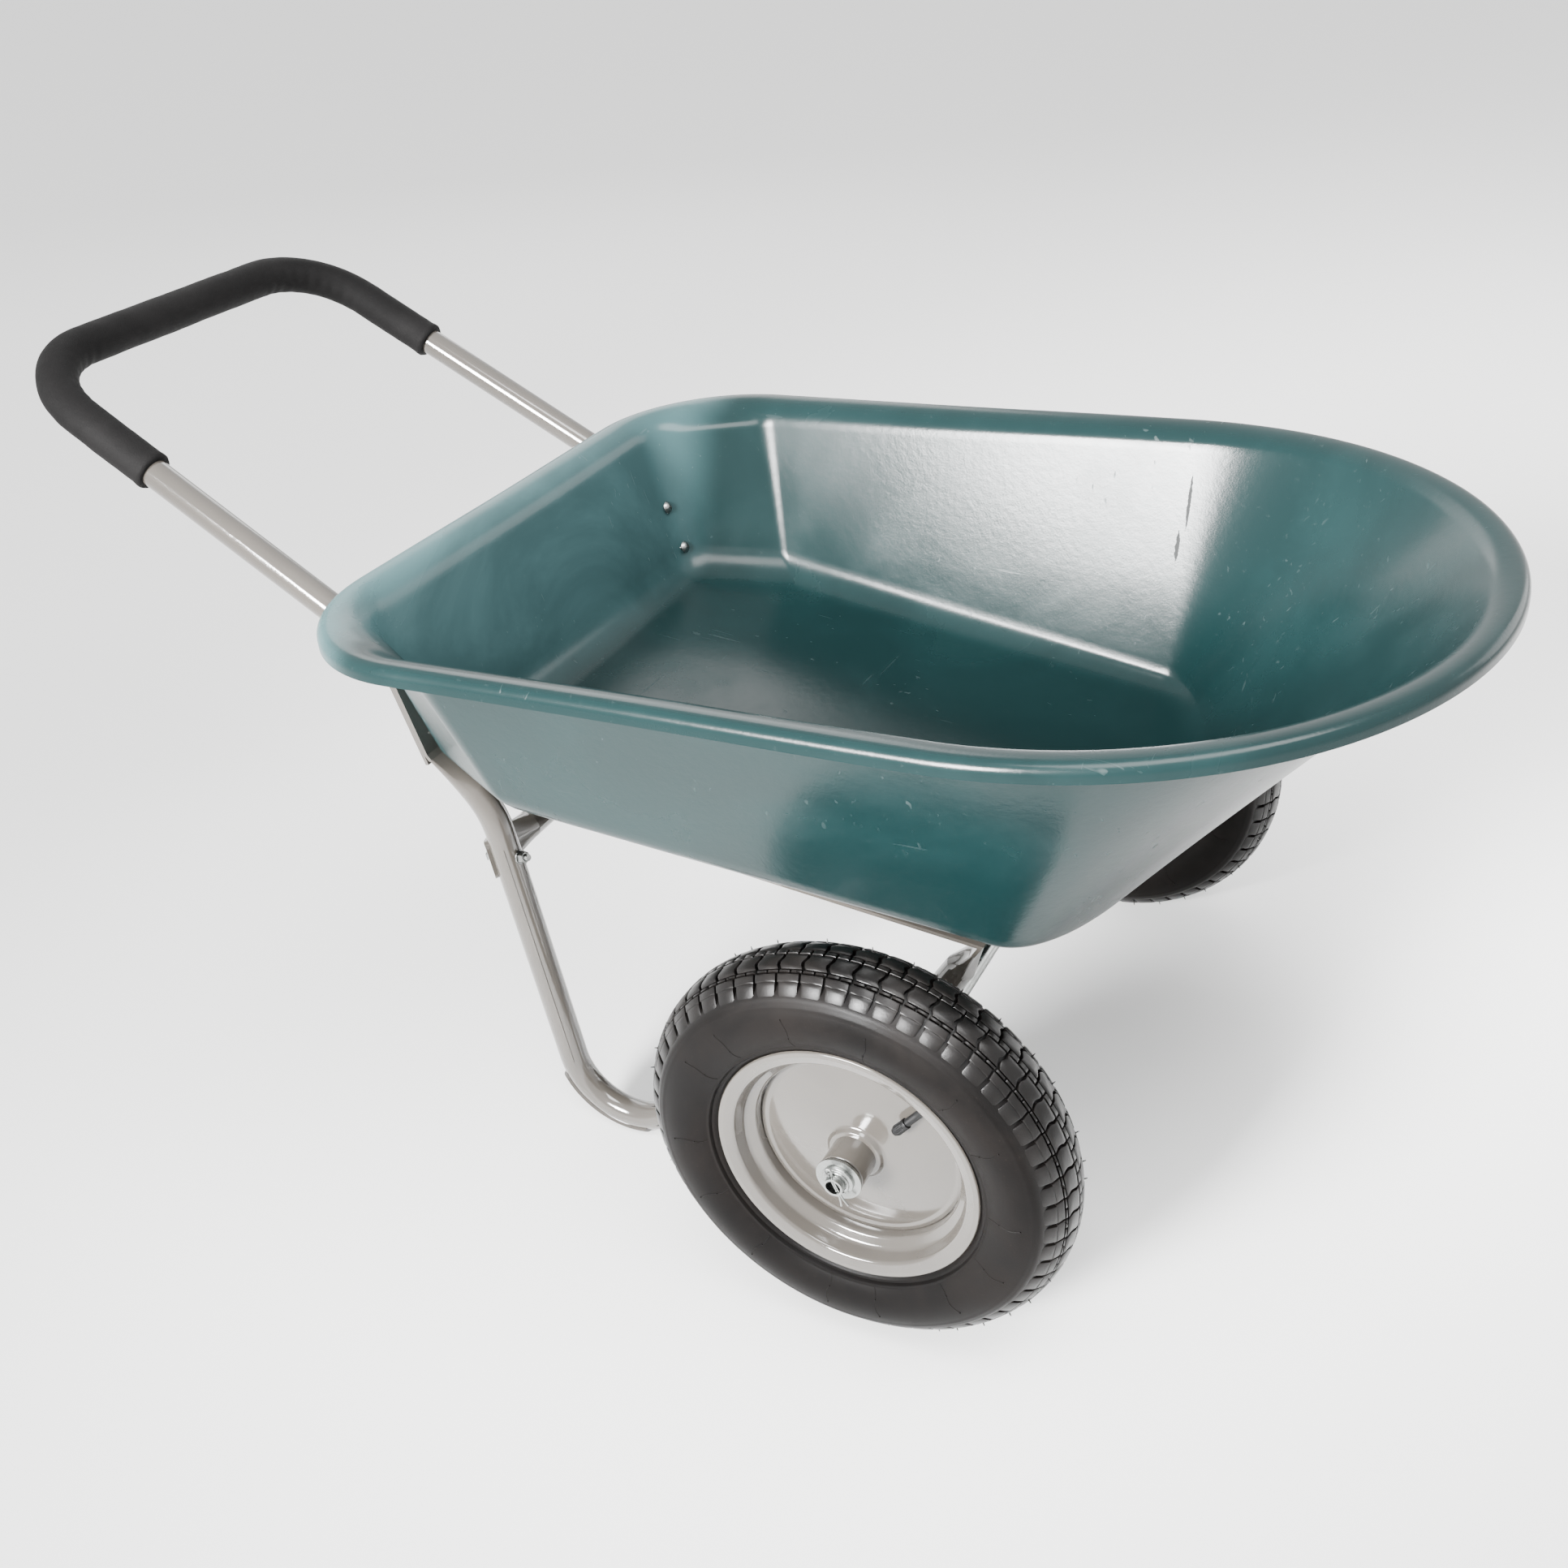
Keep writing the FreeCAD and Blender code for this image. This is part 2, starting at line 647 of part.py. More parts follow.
def build_side_frame(name, side):
    strip_end, knee, foot, bend, fold, floor_along = frame_corners()
    shift = Y_AXIS * (side * dim("side_offset"))
    leg_along = (knee - strip_end).normalize()
    leg_start = strip_end + leg_along * (dim("leg_press") + 6)
    strut_stop = fold - STRUT_UP * (PRESS + 12)
    radii = [dim("knee_bend"), dim("foot_bend"), dim("run_bend")]
    path = shaped("frame_path_" + name, bent_path(
        [corner + shift for corner in (leg_start, knee, foot, bend, strut_stop)], radii))
    tube = hollow_tube("frame_round_" + name, path, "dims.tube_radius", "dims.tube_radius - dims.tube_wall")
    back_strap = strip(
        [wall_point(54, LEG_STRIP_OUT, 0) + shift, strip_end + shift, strip_end + leg_along * 6 + shift],
        dim("press_half"), dim("press_gauge"))
    back_press = pressing(leg_start + shift, leg_along * -1, strip_end + leg_along * 6 + shift, leg_along * -1)
    tongue = strip(
        [fold - STRUT_UP * 12 + shift, fold + shift, fold - floor_along * dim("tongue_length") + shift],
        dim("press_half"), dim("press_gauge"))
    front_press = pressing(strut_stop + shift, STRUT_UP, fold - STRUT_UP * 12 + shift, STRUT_UP)
    pieces = [tube]
    for part, shape in (("back_strap", back_strap), ("back_press", back_press),
                        ("tongue", tongue), ("front_press", front_press)):
        pieces.append(shaped(f"frame_{part}_{name}", shape))
    whole = fuse("frame_whole_" + name, pieces)
    spots = [wall_point(down, 0, y) for y, down in bolt_places()]
    holes = rods(spots, WALL_OUT, dim("bolt_radius") + 0.3, 0, 20)
    holes += rods([brace_bolt_place(side)], LEG_ACROSS, dim("bolt_radius") + 0.3, -30, 30)
    drill = shaped("frame_drill_" + name, Part.makeCompound(holes))
    node(cut("frame_drilled_" + name, whole, drill), "frame_tube_" + name)


def build_foot_plate(name, side):
    """A saddle-shaped shoe welded under the foot bend, which takes the wear."""
    centre = FOOT_CENTRE + Y_AXIS * (side * dim("side_offset"))
    start = math.radians(dim("foot_plate_start"))
    radial = Vector(math.cos(start), 0, math.sin(start))
    heart = centre + radial * dim("foot_bend")

    def spot(radius, angle):
        return heart + radial * (radius * math.cos(angle)) + Y_AXIS * (radius * math.sin(angle))

    inner = dim("tube_radius") + 0.05
    outer = dim("tube_radius") + dim("foot_gauge")
    wrap = math.radians(dim("foot_wrap"))
    section = Part.Face(Part.Wire([
        Part.Arc(spot(outer, -wrap), spot(outer, 0), spot(outer, wrap)).toShape(),
        Part.LineSegment(spot(outer, wrap), spot(inner, wrap)).toShape(),
        Part.Arc(spot(inner, wrap), spot(inner, 0), spot(inner, -wrap)).toShape(),
        Part.LineSegment(spot(inner, -wrap), spot(outer, -wrap)).toShape(),
    ]))
    plate = section.revolve(centre, Y_AXIS * -1, dim("foot_plate_sweep"))
    node(shaped("foot_plate_shape_" + name, plate), "foot_plate_" + name)


# ---------------------------------------------------------------- rear brace

LEG_ACROSS = Vector(-LEG_DOWN.z, 0, LEG_DOWN.x)


def leg_centre(height):
    _, _, foot, _, _, _ = frame_corners()
    return foot - LEG_DOWN * ((height - foot.z) / -LEG_DOWN.z)


def brace_centre():
    back = dim("tube_radius") + 0.1 + dim("press_gauge") / 2
    return leg_centre(dim("brace_height")) - LEG_ACROSS * back


def brace_bolt_place(side):
    return leg_centre(dim("brace_height")) + Y_AXIS * (side * dim("side_offset"))


def build_brace():
    """A straight tube across the backs of the legs, its ends pressed flat and curled round them."""
    centre = brace_centre()
    ends = [centre + Y_AXIS * (side * dim("brace_straight")) for side in (-1, 1)]
    path = shaped("brace_path", Part.Wire([Part.LineSegment(*ends).toShape()]))
    pieces = [hollow_tube("brace_round", path, "dims.tube_radius", "dims.tube_radius - dims.tube_wall")]
    half = dim("press_half")
    gauge = dim("press_gauge")
    for name, side in SIDES.items():
        start = centre + Y_AXIS * (side * dim("brace_straight"))
        flat = centre + Y_AXIS * (side * (dim("brace_straight") + PRESS - 2))
        tip = centre + Y_AXIS * (side * dim("side_offset"))
        rings = []
        for spot, wide, thick in ((start, dim("tube_radius"), dim("tube_radius")), (flat, half, gauge / 2)):
            rings.append(upright_ring(spot, wide, thick))
        pieces.append(shaped("brace_press_" + name, Part.makeLoft(rings, True, True)))
        plate = Part.makeLoft([rings[1], upright_ring(tip, half, gauge / 2)], True, True)
        pieces.append(shaped("brace_flat_" + name, plate))
        pieces.append(shaped("brace_saddle_" + name, brace_saddle(side)))
    whole = fuse("brace_whole", pieces)
    holes = rods([brace_bolt_place(side) for side in SIDES.values()], LEG_ACROSS, dim("bolt_radius") + 0.3, -30, 0)
    node(cut("brace_drilled", whole, shaped("brace_drill", Part.makeCompound(holes))), "rear_brace")


def brace_saddle(side):
    """The part of the brace's flat end that curls round the outside of the leg."""
    spot = brace_bolt_place(side)
    back = LEG_ACROSS * -1
    inner = dim("tube_radius") + 0.1
    outer = inner + dim("press_gauge")
    tall = LEG_DOWN * dim("press_half")
    corners = [spot + back * inner - tall, spot + back * outer - tall,
               spot + back * outer + tall, spot + back * inner + tall]
    section = Part.Face(Part.makePolygon(corners + corners[:1]))
    shell = section.revolve(spot, back.cross(Y_AXIS * side), dim("brace_wrap"))
    reach = side * (dim("side_offset") + inner * math.sin(math.radians(dim("brace_wrap"))) - 0.5)
    ends = [edge for edge in shell.Edges
            if abs(edge.Length - dim("press_gauge")) < 0.01
            and all(side * (vertex.Y - reach) > 0 for vertex in edge.Vertexes)]
    return shell.makeFillet(dim("saddle_corner"), ends)


def upright_ring(centre, half_height, half_gauge):
    """A section across the brace: round, or pressed flat against the leg."""
    up = LEG_DOWN * -1
    across = LEG_ACROSS
    if half_height == half_gauge:
        angle = math.radians(25)
        lean = half_height * math.cos(angle)
        side = half_height * math.sin(angle)
    else:
        lean = half_height - half_gauge
        side = half_gauge
    corners = [centre + up * lean + across * side, centre - up * lean + across * side,
               centre - up * lean - across * side, centre + up * lean - across * side]
    middles = [centre + across * half_gauge, centre - up * half_height,
               centre - across * half_gauge, centre + up * half_height]
    edges = []
    for index, middle in enumerate(middles):
        stop = corners[(index + 1) % 4]
        straight = half_height != half_gauge and index % 2 == 0
        curve = Part.LineSegment(corners[index], stop) if straight else Part.Arc(corners[index], middle, stop)
        edges.append(curve.toShape())
    return Part.Wire(edges)


# ---------------------------------------------------------------- fasteners

def hexagon(spot, along, flats, height):
    """A hexagonal nut blank."""
    turn = FreeCAD.Rotation(Z_AXIS, along)
    corners = []
    for index in range(7):
        angle = math.radians(60 * index)
        corner = Vector(math.cos(angle), math.sin(angle), 0) * (flats / math.sqrt(3))
        corners.append(spot + turn.multVec(corner))
    return Part.Face(Part.makePolygon(corners)).extrude(along * height)


def pan_head(spot, along, radius, height):
    """A domed screw head with a cross recess, standing against the given direction."""
    lens_radius = (radius ** 2 + height ** 2) / (2 * height)
    ball = Part.makeSphere(lens_radius, spot + along * (lens_radius - height))
    head = ball.common(Part.makeCylinder(radius, height, spot, along * -1))
    turn = FreeCAD.Placement(spot - along * height, FreeCAD.Rotation(Z_AXIS, along))
    for size in ((1.2, 5.6), (5.6, 1.2)):
        slot = Part.makeBox(size[0], size[1], 1.6, Vector(-size[0] / 2, -size[1] / 2, -0.2))
        slot.Placement = turn.multiply(slot.Placement)
        head = head.cut(slot)
    return head


def fastener_set(prefix, spots, along, seats, far, head):
    """Bolts, washers and nuts of one joint: each head at its seat, the washers at the far face."""
    bolts = []
    washers = []
    nuts = []
    shank = dim("bolt_radius")
    gauge = dim("flat_washer_gauge")
    tall = dim("nut_height")
    for spot, seat in zip(spots, seats):
        foot = spot + along * seat
        stack = far - seat
        length = stack + gauge + tall + 3.5
        bolts.append(Part.makeCylinder(shank, length, foot, along).fuse(head(foot, along)))
        ring = Part.makeCylinder(dim("flat_washer"), gauge, foot + along * (stack + 0.05), along)
        washers.append(ring.cut(Part.makeCylinder(shank + 0.1, gauge + 2, foot + along * (stack - 1), along)))
        nut = hexagon(foot + along * (stack + gauge + 0.1), along, dim("nut_flats"), tall)
        nuts.append(nut.cut(Part.makeCylinder(shank + 0.05, tall + 2, foot + along * (stack + gauge - 0.9), along)))
    for part, solids in (("bolts", bolts), ("washers", washers), ("nuts", nuts)):
        node(shaped(f"{prefix}_{part}_shape", Part.makeCompound(solids)), f"{prefix}_{part}")


def head_seat(y, down):
    """How far out of the wall's plane a bolt head sits to touch the tray's inner face."""
    tray = next(piece.Shape for piece in nodes if piece.Label == "tray")
    faces = []
    for step in range(8):
        turn = math.radians(45 * step)
        spot = wall_point(down + dim("bolt_head") * math.sin(turn), 0, y + dim("bolt_head") * math.cos(turn))
        line = Part.makeLine(spot - WALL_OUT * 30, spot + WALL_OUT * 30)
        hits = [(vertex.Point - spot).dot(WALL_OUT) for vertex in line.common(tray).Vertexes]
        faces.append(min(hits))
    return min(faces) - 0.1


def build_fasteners():
    doc.recompute()
    wall_spots = [wall_point(down, 0, y) for y, down in bolt_places()]
    wall_seats = [head_seat(y, down) for y, down in bolt_places()]
    fastener_set(
        "tray", wall_spots, WALL_OUT, wall_seats, HANDLE_STRIP_OUT + dim("press_gauge") / 2,
        lambda foot, along: pan_head(foot, along, dim("bolt_head"), dim("bolt_head_height")))
    leg_spots = [brace_bolt_place(side) for side in SIDES.values()]
    back = dim("tube_radius") + 0.15 + dim("press_gauge")
    fastener_set(
        "brace", leg_spots, LEG_ACROSS, [-back] * 2, dim("tube_radius"),
        lambda foot, along: hexagon(foot - along * 4, along, dim("nut_flats"), 4))


# ---------------------------------------------------------------- axle

def build_axle():
    body = ring_body("axle_body", ["dims.axle_radius", "dims.axle_bore"], "2 * dims.axle_half")
    place(body, "dims.axle_ahead", "0", "dims.tyre_radius")
    holes = []
    for side in SIDES.values():
        spot = split_pin_place(side)
        holes += rods([spot], split_pin_along(), dim("pin_radius") + 0.15, -12, 12)
    node(cut("axle_drilled", body, shaped("axle_drill", Part.makeCompound(holes))), "axle")


def split_pin_place(side):
    out = dim("wheel_track") / 2 + dim("hub_half") + dim("bush_flange") + dim("washer_gauge") + 6.9
    return AXLE + Y_AXIS * (side * out)


def split_pin_along():
    angle = math.radians(-68)
    return Vector(math.cos(angle), 0, math.sin(angle))


def build_axle_side(name, side):
    """The boss on the frame, and the spacer, washers, collar and pin that hold one wheel."""
    side_y = f"{side} * dims.side_offset"
    strut = Part.makeCylinder(dim("tube_radius") + 0.05, 240)
    strut_side = Vector(-STRUT_UP.z, 0, STRUT_UP.x)
    start = AXLE + strut_side * dim("strut_clear") - STRUT_UP * 120 + Y_AXIS * (side * dim("side_offset"))
    cope = shaped("cope_" + name, strut, FreeCAD.Placement(start, FreeCAD.Rotation(Z_AXIS, STRUT_UP)))
    boss = ring_body("boss_body_" + name, ["dims.boss_radius", "dims.axle_radius + 0.05"], "2 * dims.boss_half")
    place(boss, "dims.axle_ahead", side_y, "dims.tyre_radius")
    node(cut("boss_coped_" + name, boss, cope), "axle_boss_" + name)
    bore = "dims.axle_radius + 0.1"
    hub_face = "(dims.hub_half + dims.bush_flange + dims.axle_play)"
    spacer_length = (f"(dims.wheel_track / 2 - {hub_face} - dims.washer_gauge - 0.1"
                     " - dims.side_offset - dims.boss_half - 0.1)")
    rings = [
        ("axle_spacer_", ["dims.spacer_radius", bore], spacer_length,
         f"dims.side_offset + dims.boss_half + 0.1 + {spacer_length} / 2"),
        ("inner_washer_", ["dims.washer_radius", bore], "dims.washer_gauge",
         f"dims.wheel_track / 2 - {hub_face} - dims.washer_gauge / 2"),
        ("outer_washer_", ["dims.washer_radius", bore], "dims.washer_gauge",
         f"dims.wheel_track / 2 + {hub_face} + dims.washer_gauge / 2"),
    ]
    for label, radii, length, distance in rings:
        ring = ring_body(label + "body_" + name, radii, length)
        place(ring, "dims.axle_ahead", f"{side} * ({distance})", "dims.tyre_radius")
        node(ring, label + name)
    collar = turned_body("collar_body_" + name, [
        ("0", bore), ("0", "dims.collar_radius"), ("2.2", "dims.collar_radius"),
        ("2.2", "dims.collar_step"), ("4.4", "dims.collar_step"), ("4.4", bore)])
    place(collar, "dims.axle_ahead",
          f"{side} * (dims.wheel_track / 2 + {hub_face} + dims.washer_gauge + 0.1)",
          "dims.tyre_radius", 0 if side > 0 else 180)
    node(collar, "axle_collar_" + name)
    node(shaped("split_pin_shape_" + name, split_pin(side)), "split_pin_" + name)


def split_pin(side):
    """An eye, a straight shank through the axle and two legs that are bent apart."""
    spot = split_pin_place(side)
    along = split_pin_along()
    radius = dim("pin_radius")
    reach = dim("axle_radius")
    pin = Part.makeCylinder(radius, 2 * reach + 3, spot - along * (reach + 1), along)
    eye = Part.makeTorus(3.2, 1.1, spot - along * (reach + 4.6), Y_AXIS)
    legs = []
    for lean in (-9, 9):
        tip = FreeCAD.Rotation(Y_AXIS, lean).multVec(along)
        legs.append(Part.makeCylinder(radius * 0.7, 11, spot + along * (reach + 1), tip))
    return pin.multiFuse([eye] + legs)


# ---------------------------------------------------------------- wheels

def build_wheel(name, side):
    turn = 0 if side > 0 else 180
    centre_y = f"{side} * dims.wheel_track / 2"

    def seat(body):
        place(body, "dims.axle_ahead", centre_y, "dims.tyre_radius", turn)
        return body

    valve_angle = math.radians(dim("valve_angle"))
    radial = Vector(math.cos(valve_angle), 0, math.sin(valve_angle))
    lean = math.radians(dim("valve_lean"))
    valve_along = Y_AXIS * (side * math.sin(lean)) - radial * math.cos(lean)
    valve_foot = AXLE + Y_AXIS * (side * (dim("wheel_track") / 2 + dim("valve_offset")))
    valve_foot += radial * (dim("rim_seat") + 2.4)

    rim = turned_body("rim_body_" + name, [
        ("0", "dims.rim_well"), ("11", "dims.rim_well"), ("14.5", "dims.rim_seat - 1"),
        ("dims.rim_half_width - 3.8", "dims.rim_seat"),
        ("dims.rim_half_width - dims.rim_gauge", "dims.rim_seat + 3"),
        ("dims.rim_half_width - dims.rim_gauge", "dims.rim_flange"),
        ("dims.rim_half_width", "dims.rim_flange"),
        ("dims.rim_half_width", "dims.rim_seat + 2"),
        ("dims.rim_half_width - 2.5", "dims.rim_seat - dims.rim_gauge"),
        ("15.7", "dims.rim_seat - 1 - dims.rim_gauge"), ("12.2", "dims.rim_well - dims.rim_gauge"),
        ("0", "dims.rim_well - dims.rim_gauge")], mirrored=True)
    hole = shaped("valve_hole_" + name, Part.makeCylinder(
        dim("valve_stem") + 0.3, 26, valve_foot, valve_along))
    node(cut("rim_drilled_" + name, seat(rim), hole), "rim_" + name)

    disc = turned_body("disc_body_" + name, [
        ("3.2 - dims.disc_gauge", "dims.rim_well - dims.rim_gauge - 0.05"),
        ("3.2", "dims.rim_well - dims.rim_gauge - 0.05"), ("3.2", "dims.disc_edge"),
        ("6.6", "60"), ("9.6", "36"), ("10.8", "dims.hub_radius + 3"), ("14.8", "dims.hub_radius + 2.4"),
        ("14.8", "dims.hub_radius + 0.05"), ("10.8 - dims.disc_gauge", "dims.hub_radius + 0.05"),
        ("9.6 - dims.disc_gauge", "36"), ("6.6 - dims.disc_gauge", "60"),
        ("3.2 - dims.disc_gauge", "dims.disc_edge - 1")])
    node(seat(disc), "wheel_disc_" + name)

    node(seat(ring_body("hub_body_" + name, ["dims.hub_radius", "dims.hub_bore"], "2 * dims.hub_half")),
         "hub_tube_" + name)

    for position, flip in (("outer", 1), ("inner", -1)):
        face = f"{flip} * (dims.hub_half + dims.bush_flange)"
        flange = f"{flip} * dims.hub_half"
        end = f"{flip} * (dims.hub_half - dims.bush_length)"
        bush = turned_body(f"bush_body_{position}_{name}", [
            (face, "dims.axle_radius + dims.running_clearance"), (face, "dims.hub_bore + 2.6"),
            (flange, "dims.hub_bore + 2.6"), (flange, "dims.hub_bore - 0.02"),
            (end, "dims.hub_bore - 0.02"), (end, "dims.axle_radius + dims.running_clearance")])
        node(seat(bush), f"{position}_bush_{name}")

    middle = "(dims.tyre_radius - dims.tyre_section)"
    crown = "dims.tyre_section"
    lining = "(dims.tyre_section - dims.tyre_carcass)"
    tyre = turned_body("tyre_body_" + name, [
        ("-dims.rim_half_width + dims.rim_gauge + 0.3", "dims.rim_flange + 0.6"),
        (f"-sqrt({crown} ^ 2 - ({middle} - dims.rim_flange - 0.6) ^ 2)", "dims.rim_flange + 0.6", crown),
        (f"-{crown}", middle, crown), ("0", "dims.tyre_radius", crown), (crown, middle, crown),
        (f"sqrt({crown} ^ 2 - ({middle} - dims.rim_flange - 0.6) ^ 2)", "dims.rim_flange + 0.6"),
        ("dims.rim_half_width - dims.rim_gauge - 0.3", "dims.rim_flange + 0.6"),
        ("dims.rim_half_width - dims.rim_gauge - 0.3", "dims.rim_seat + 3.4"),
        ("dims.rim_half_width - 4.4", "dims.rim_seat + 0.3"), ("17", "dims.rim_seat + 0.3"),
        (f"{lining} * 0.6", f"{middle} - {lining} * 0.8", lining, "right"),
        (lining, middle, lining, "right"), ("0", f"{middle} + {lining}", lining, "right"),
        (f"-{lining}", middle, lining, "right"),
        (f"-{lining} * 0.6", f"{middle} - {lining} * 0.8"), ("-17", "dims.rim_seat + 0.3"),
        ("-dims.rim_half_width + 4.4", "dims.rim_seat + 0.3"),
        ("-dims.rim_half_width + dims.rim_gauge + 0.3", "dims.rim_seat + 3.4")])
    node(seat(tyre), "tyre_" + name)

    tubes = []
    for part, size in (("skin", f"{lining} - 0.4"), ("air", f"{lining} - 0.4 - dims.tube_skin")):
        tubes.append(add("Part::Torus", f"inner_tube_{part}_{name}", Radius1=middle, Radius2=size))
    hollow = cut("inner_tube_hollow_" + name, *tubes)
    hollow.Placement = FreeCAD.Placement(Vector(0, 0, 0), FreeCAD.Rotation(Vector(1, 0, 0), 90))
    hollow.setExpression("Placement.Base.x", "dims.axle_ahead")
    hollow.setExpression("Placement.Base.y", centre_y)
    hollow.setExpression("Placement.Base.z", "dims.tyre_radius")
    node(hollow, "inner_tube_" + name)

    def turned_to_valve(thing, label):
        thing.Placement = FreeCAD.Placement(valve_foot, FreeCAD.Rotation(Z_AXIS, valve_along))
        node(thing, label)

    stem = fuse("stem_whole_" + name, [
        add("Part::Cylinder", "stem_rod_" + name, Radius="dims.valve_stem", Height="dims.valve_length"),
        add("Part::Cone", "stem_root_" + name, Radius1="dims.valve_root",
            Radius2="dims.valve_stem", Height="9"),
    ])
    stem.Shapes[1].setExpression("Placement.Base.z", "dims.rim_seat - dims.rim_well + 6.4")
    turned_to_valve(stem, "valve_stem_" + name)
    cap = cut(
        "cap_whole_" + name,
        add("Part::Cylinder", "cap_skin_" + name, Radius="dims.valve_cap", Height="dims.cap_length"),
        add("Part::Cylinder", "cap_bore_" + name, Radius="dims.valve_stem + 0.05",
            Height="dims.cap_length - 3"))
    for part in (cap.Base, cap.Tool):
        offset = "dims.valve_length + 1 - dims.cap_length + 3"
        part.setExpression("Placement.Base.z", offset if part is cap.Base else offset + " - 1")
    turned_to_valve(cap, "valve_cap_" + name)


def build_all():
    build_tray()
    build_handle()
    build_grip()
    for name, side in SIDES.items():
        build_side_frame(name, side)
        build_foot_plate(name, side)
        build_axle_side(name, side)
        build_wheel(name, side)
    build_brace()
    build_axle()
    build_fasteners()


build_all()
doc.recompute()
for thing in doc.Objects:
    if "Invalid" in thing.State or "Error" in thing.State:
        raise RuntimeError(f"{thing.Name} did not build")
for piece in nodes:
    if piece.Shape.isNull() or not piece.Shape.isValid() or not piece.Shape.Solids:
        raise RuntimeError(f"{piece.Label} is not a valid solid")

os.makedirs("parts", exist_ok=True)
for piece in nodes:
    piece.Shape.exportStep(f"parts/{piece.Label}.step")
    print(piece.Label, round(piece.Shape.Volume / 1000, 2), len(piece.Shape.Solids))
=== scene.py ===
import json
import math

import bmesh
import bpy
from mathutils import Matrix, Vector, noise


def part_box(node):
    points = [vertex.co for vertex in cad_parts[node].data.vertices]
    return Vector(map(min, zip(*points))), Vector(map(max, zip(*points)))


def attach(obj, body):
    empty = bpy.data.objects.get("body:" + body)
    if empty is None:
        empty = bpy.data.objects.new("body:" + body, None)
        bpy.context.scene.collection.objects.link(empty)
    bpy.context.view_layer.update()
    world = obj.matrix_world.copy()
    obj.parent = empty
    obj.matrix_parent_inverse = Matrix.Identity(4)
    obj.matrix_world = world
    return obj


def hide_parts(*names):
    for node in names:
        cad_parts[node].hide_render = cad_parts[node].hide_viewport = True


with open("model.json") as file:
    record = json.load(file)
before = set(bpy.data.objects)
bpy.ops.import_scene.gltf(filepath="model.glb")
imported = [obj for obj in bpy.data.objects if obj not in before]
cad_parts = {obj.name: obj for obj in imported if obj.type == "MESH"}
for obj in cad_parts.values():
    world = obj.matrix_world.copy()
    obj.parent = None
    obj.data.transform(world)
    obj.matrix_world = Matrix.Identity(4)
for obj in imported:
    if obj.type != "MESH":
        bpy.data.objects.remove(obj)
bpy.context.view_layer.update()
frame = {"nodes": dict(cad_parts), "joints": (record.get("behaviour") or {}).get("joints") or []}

bl_info = {
    "name": "Garden wheelbarrow",
    "version": (1, 0, 0),
    "blender": (4, 5, 0),
    "location": "View3D > Sidebar > Wheelbarrow",
    "description": "Builds the looks of a two-wheeled garden wheelbarrow around its frame",
    "category": "Object",
}

Y_AXIS = Vector((0, 1, 0))
RING_TREE = "Repeat round an axis"
SIDES = {"right": -1, "left": 1}
WHEELS = {"right": "wheel_right", "left": "wheel_left"}
JOINT_PLACES = {joint["child"]: Vector(joint["pos_m"]) for joint in frame["joints"]}


def node_middle(node):
    low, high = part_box(node)
    return (low + high) / 2


def node_size(node):
    low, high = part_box(node)
    return high - low


# ---------------------------------------------------------------- sizes and colours

def length(name, description, default):
    return bpy.props.FloatProperty(
        name=name, description=description, default=default, unit="LENGTH", precision=4)


def colour(name, description, default):
    return bpy.props.FloatVectorProperty(
        name=name, description=description, default=default, subtype="COLOR", size=3, min=0, max=1)


def position(name, description, default):
    return bpy.props.FloatVectorProperty(
        name=name, description=description, default=default, subtype="TRANSLATION",
        unit="LENGTH", size=3, precision=4)


def power(name, description, default):
    return bpy.props.FloatProperty(name=name, description=description, default=default, unit="POWER")


def tilt(name, description, degrees):
    return bpy.props.FloatProperty(
        name=name, description=description, default=math.radians(degrees), subtype="ANGLE")


def count(name, description, default):
    return bpy.props.IntProperty(name=name, description=description, default=default, min=1)


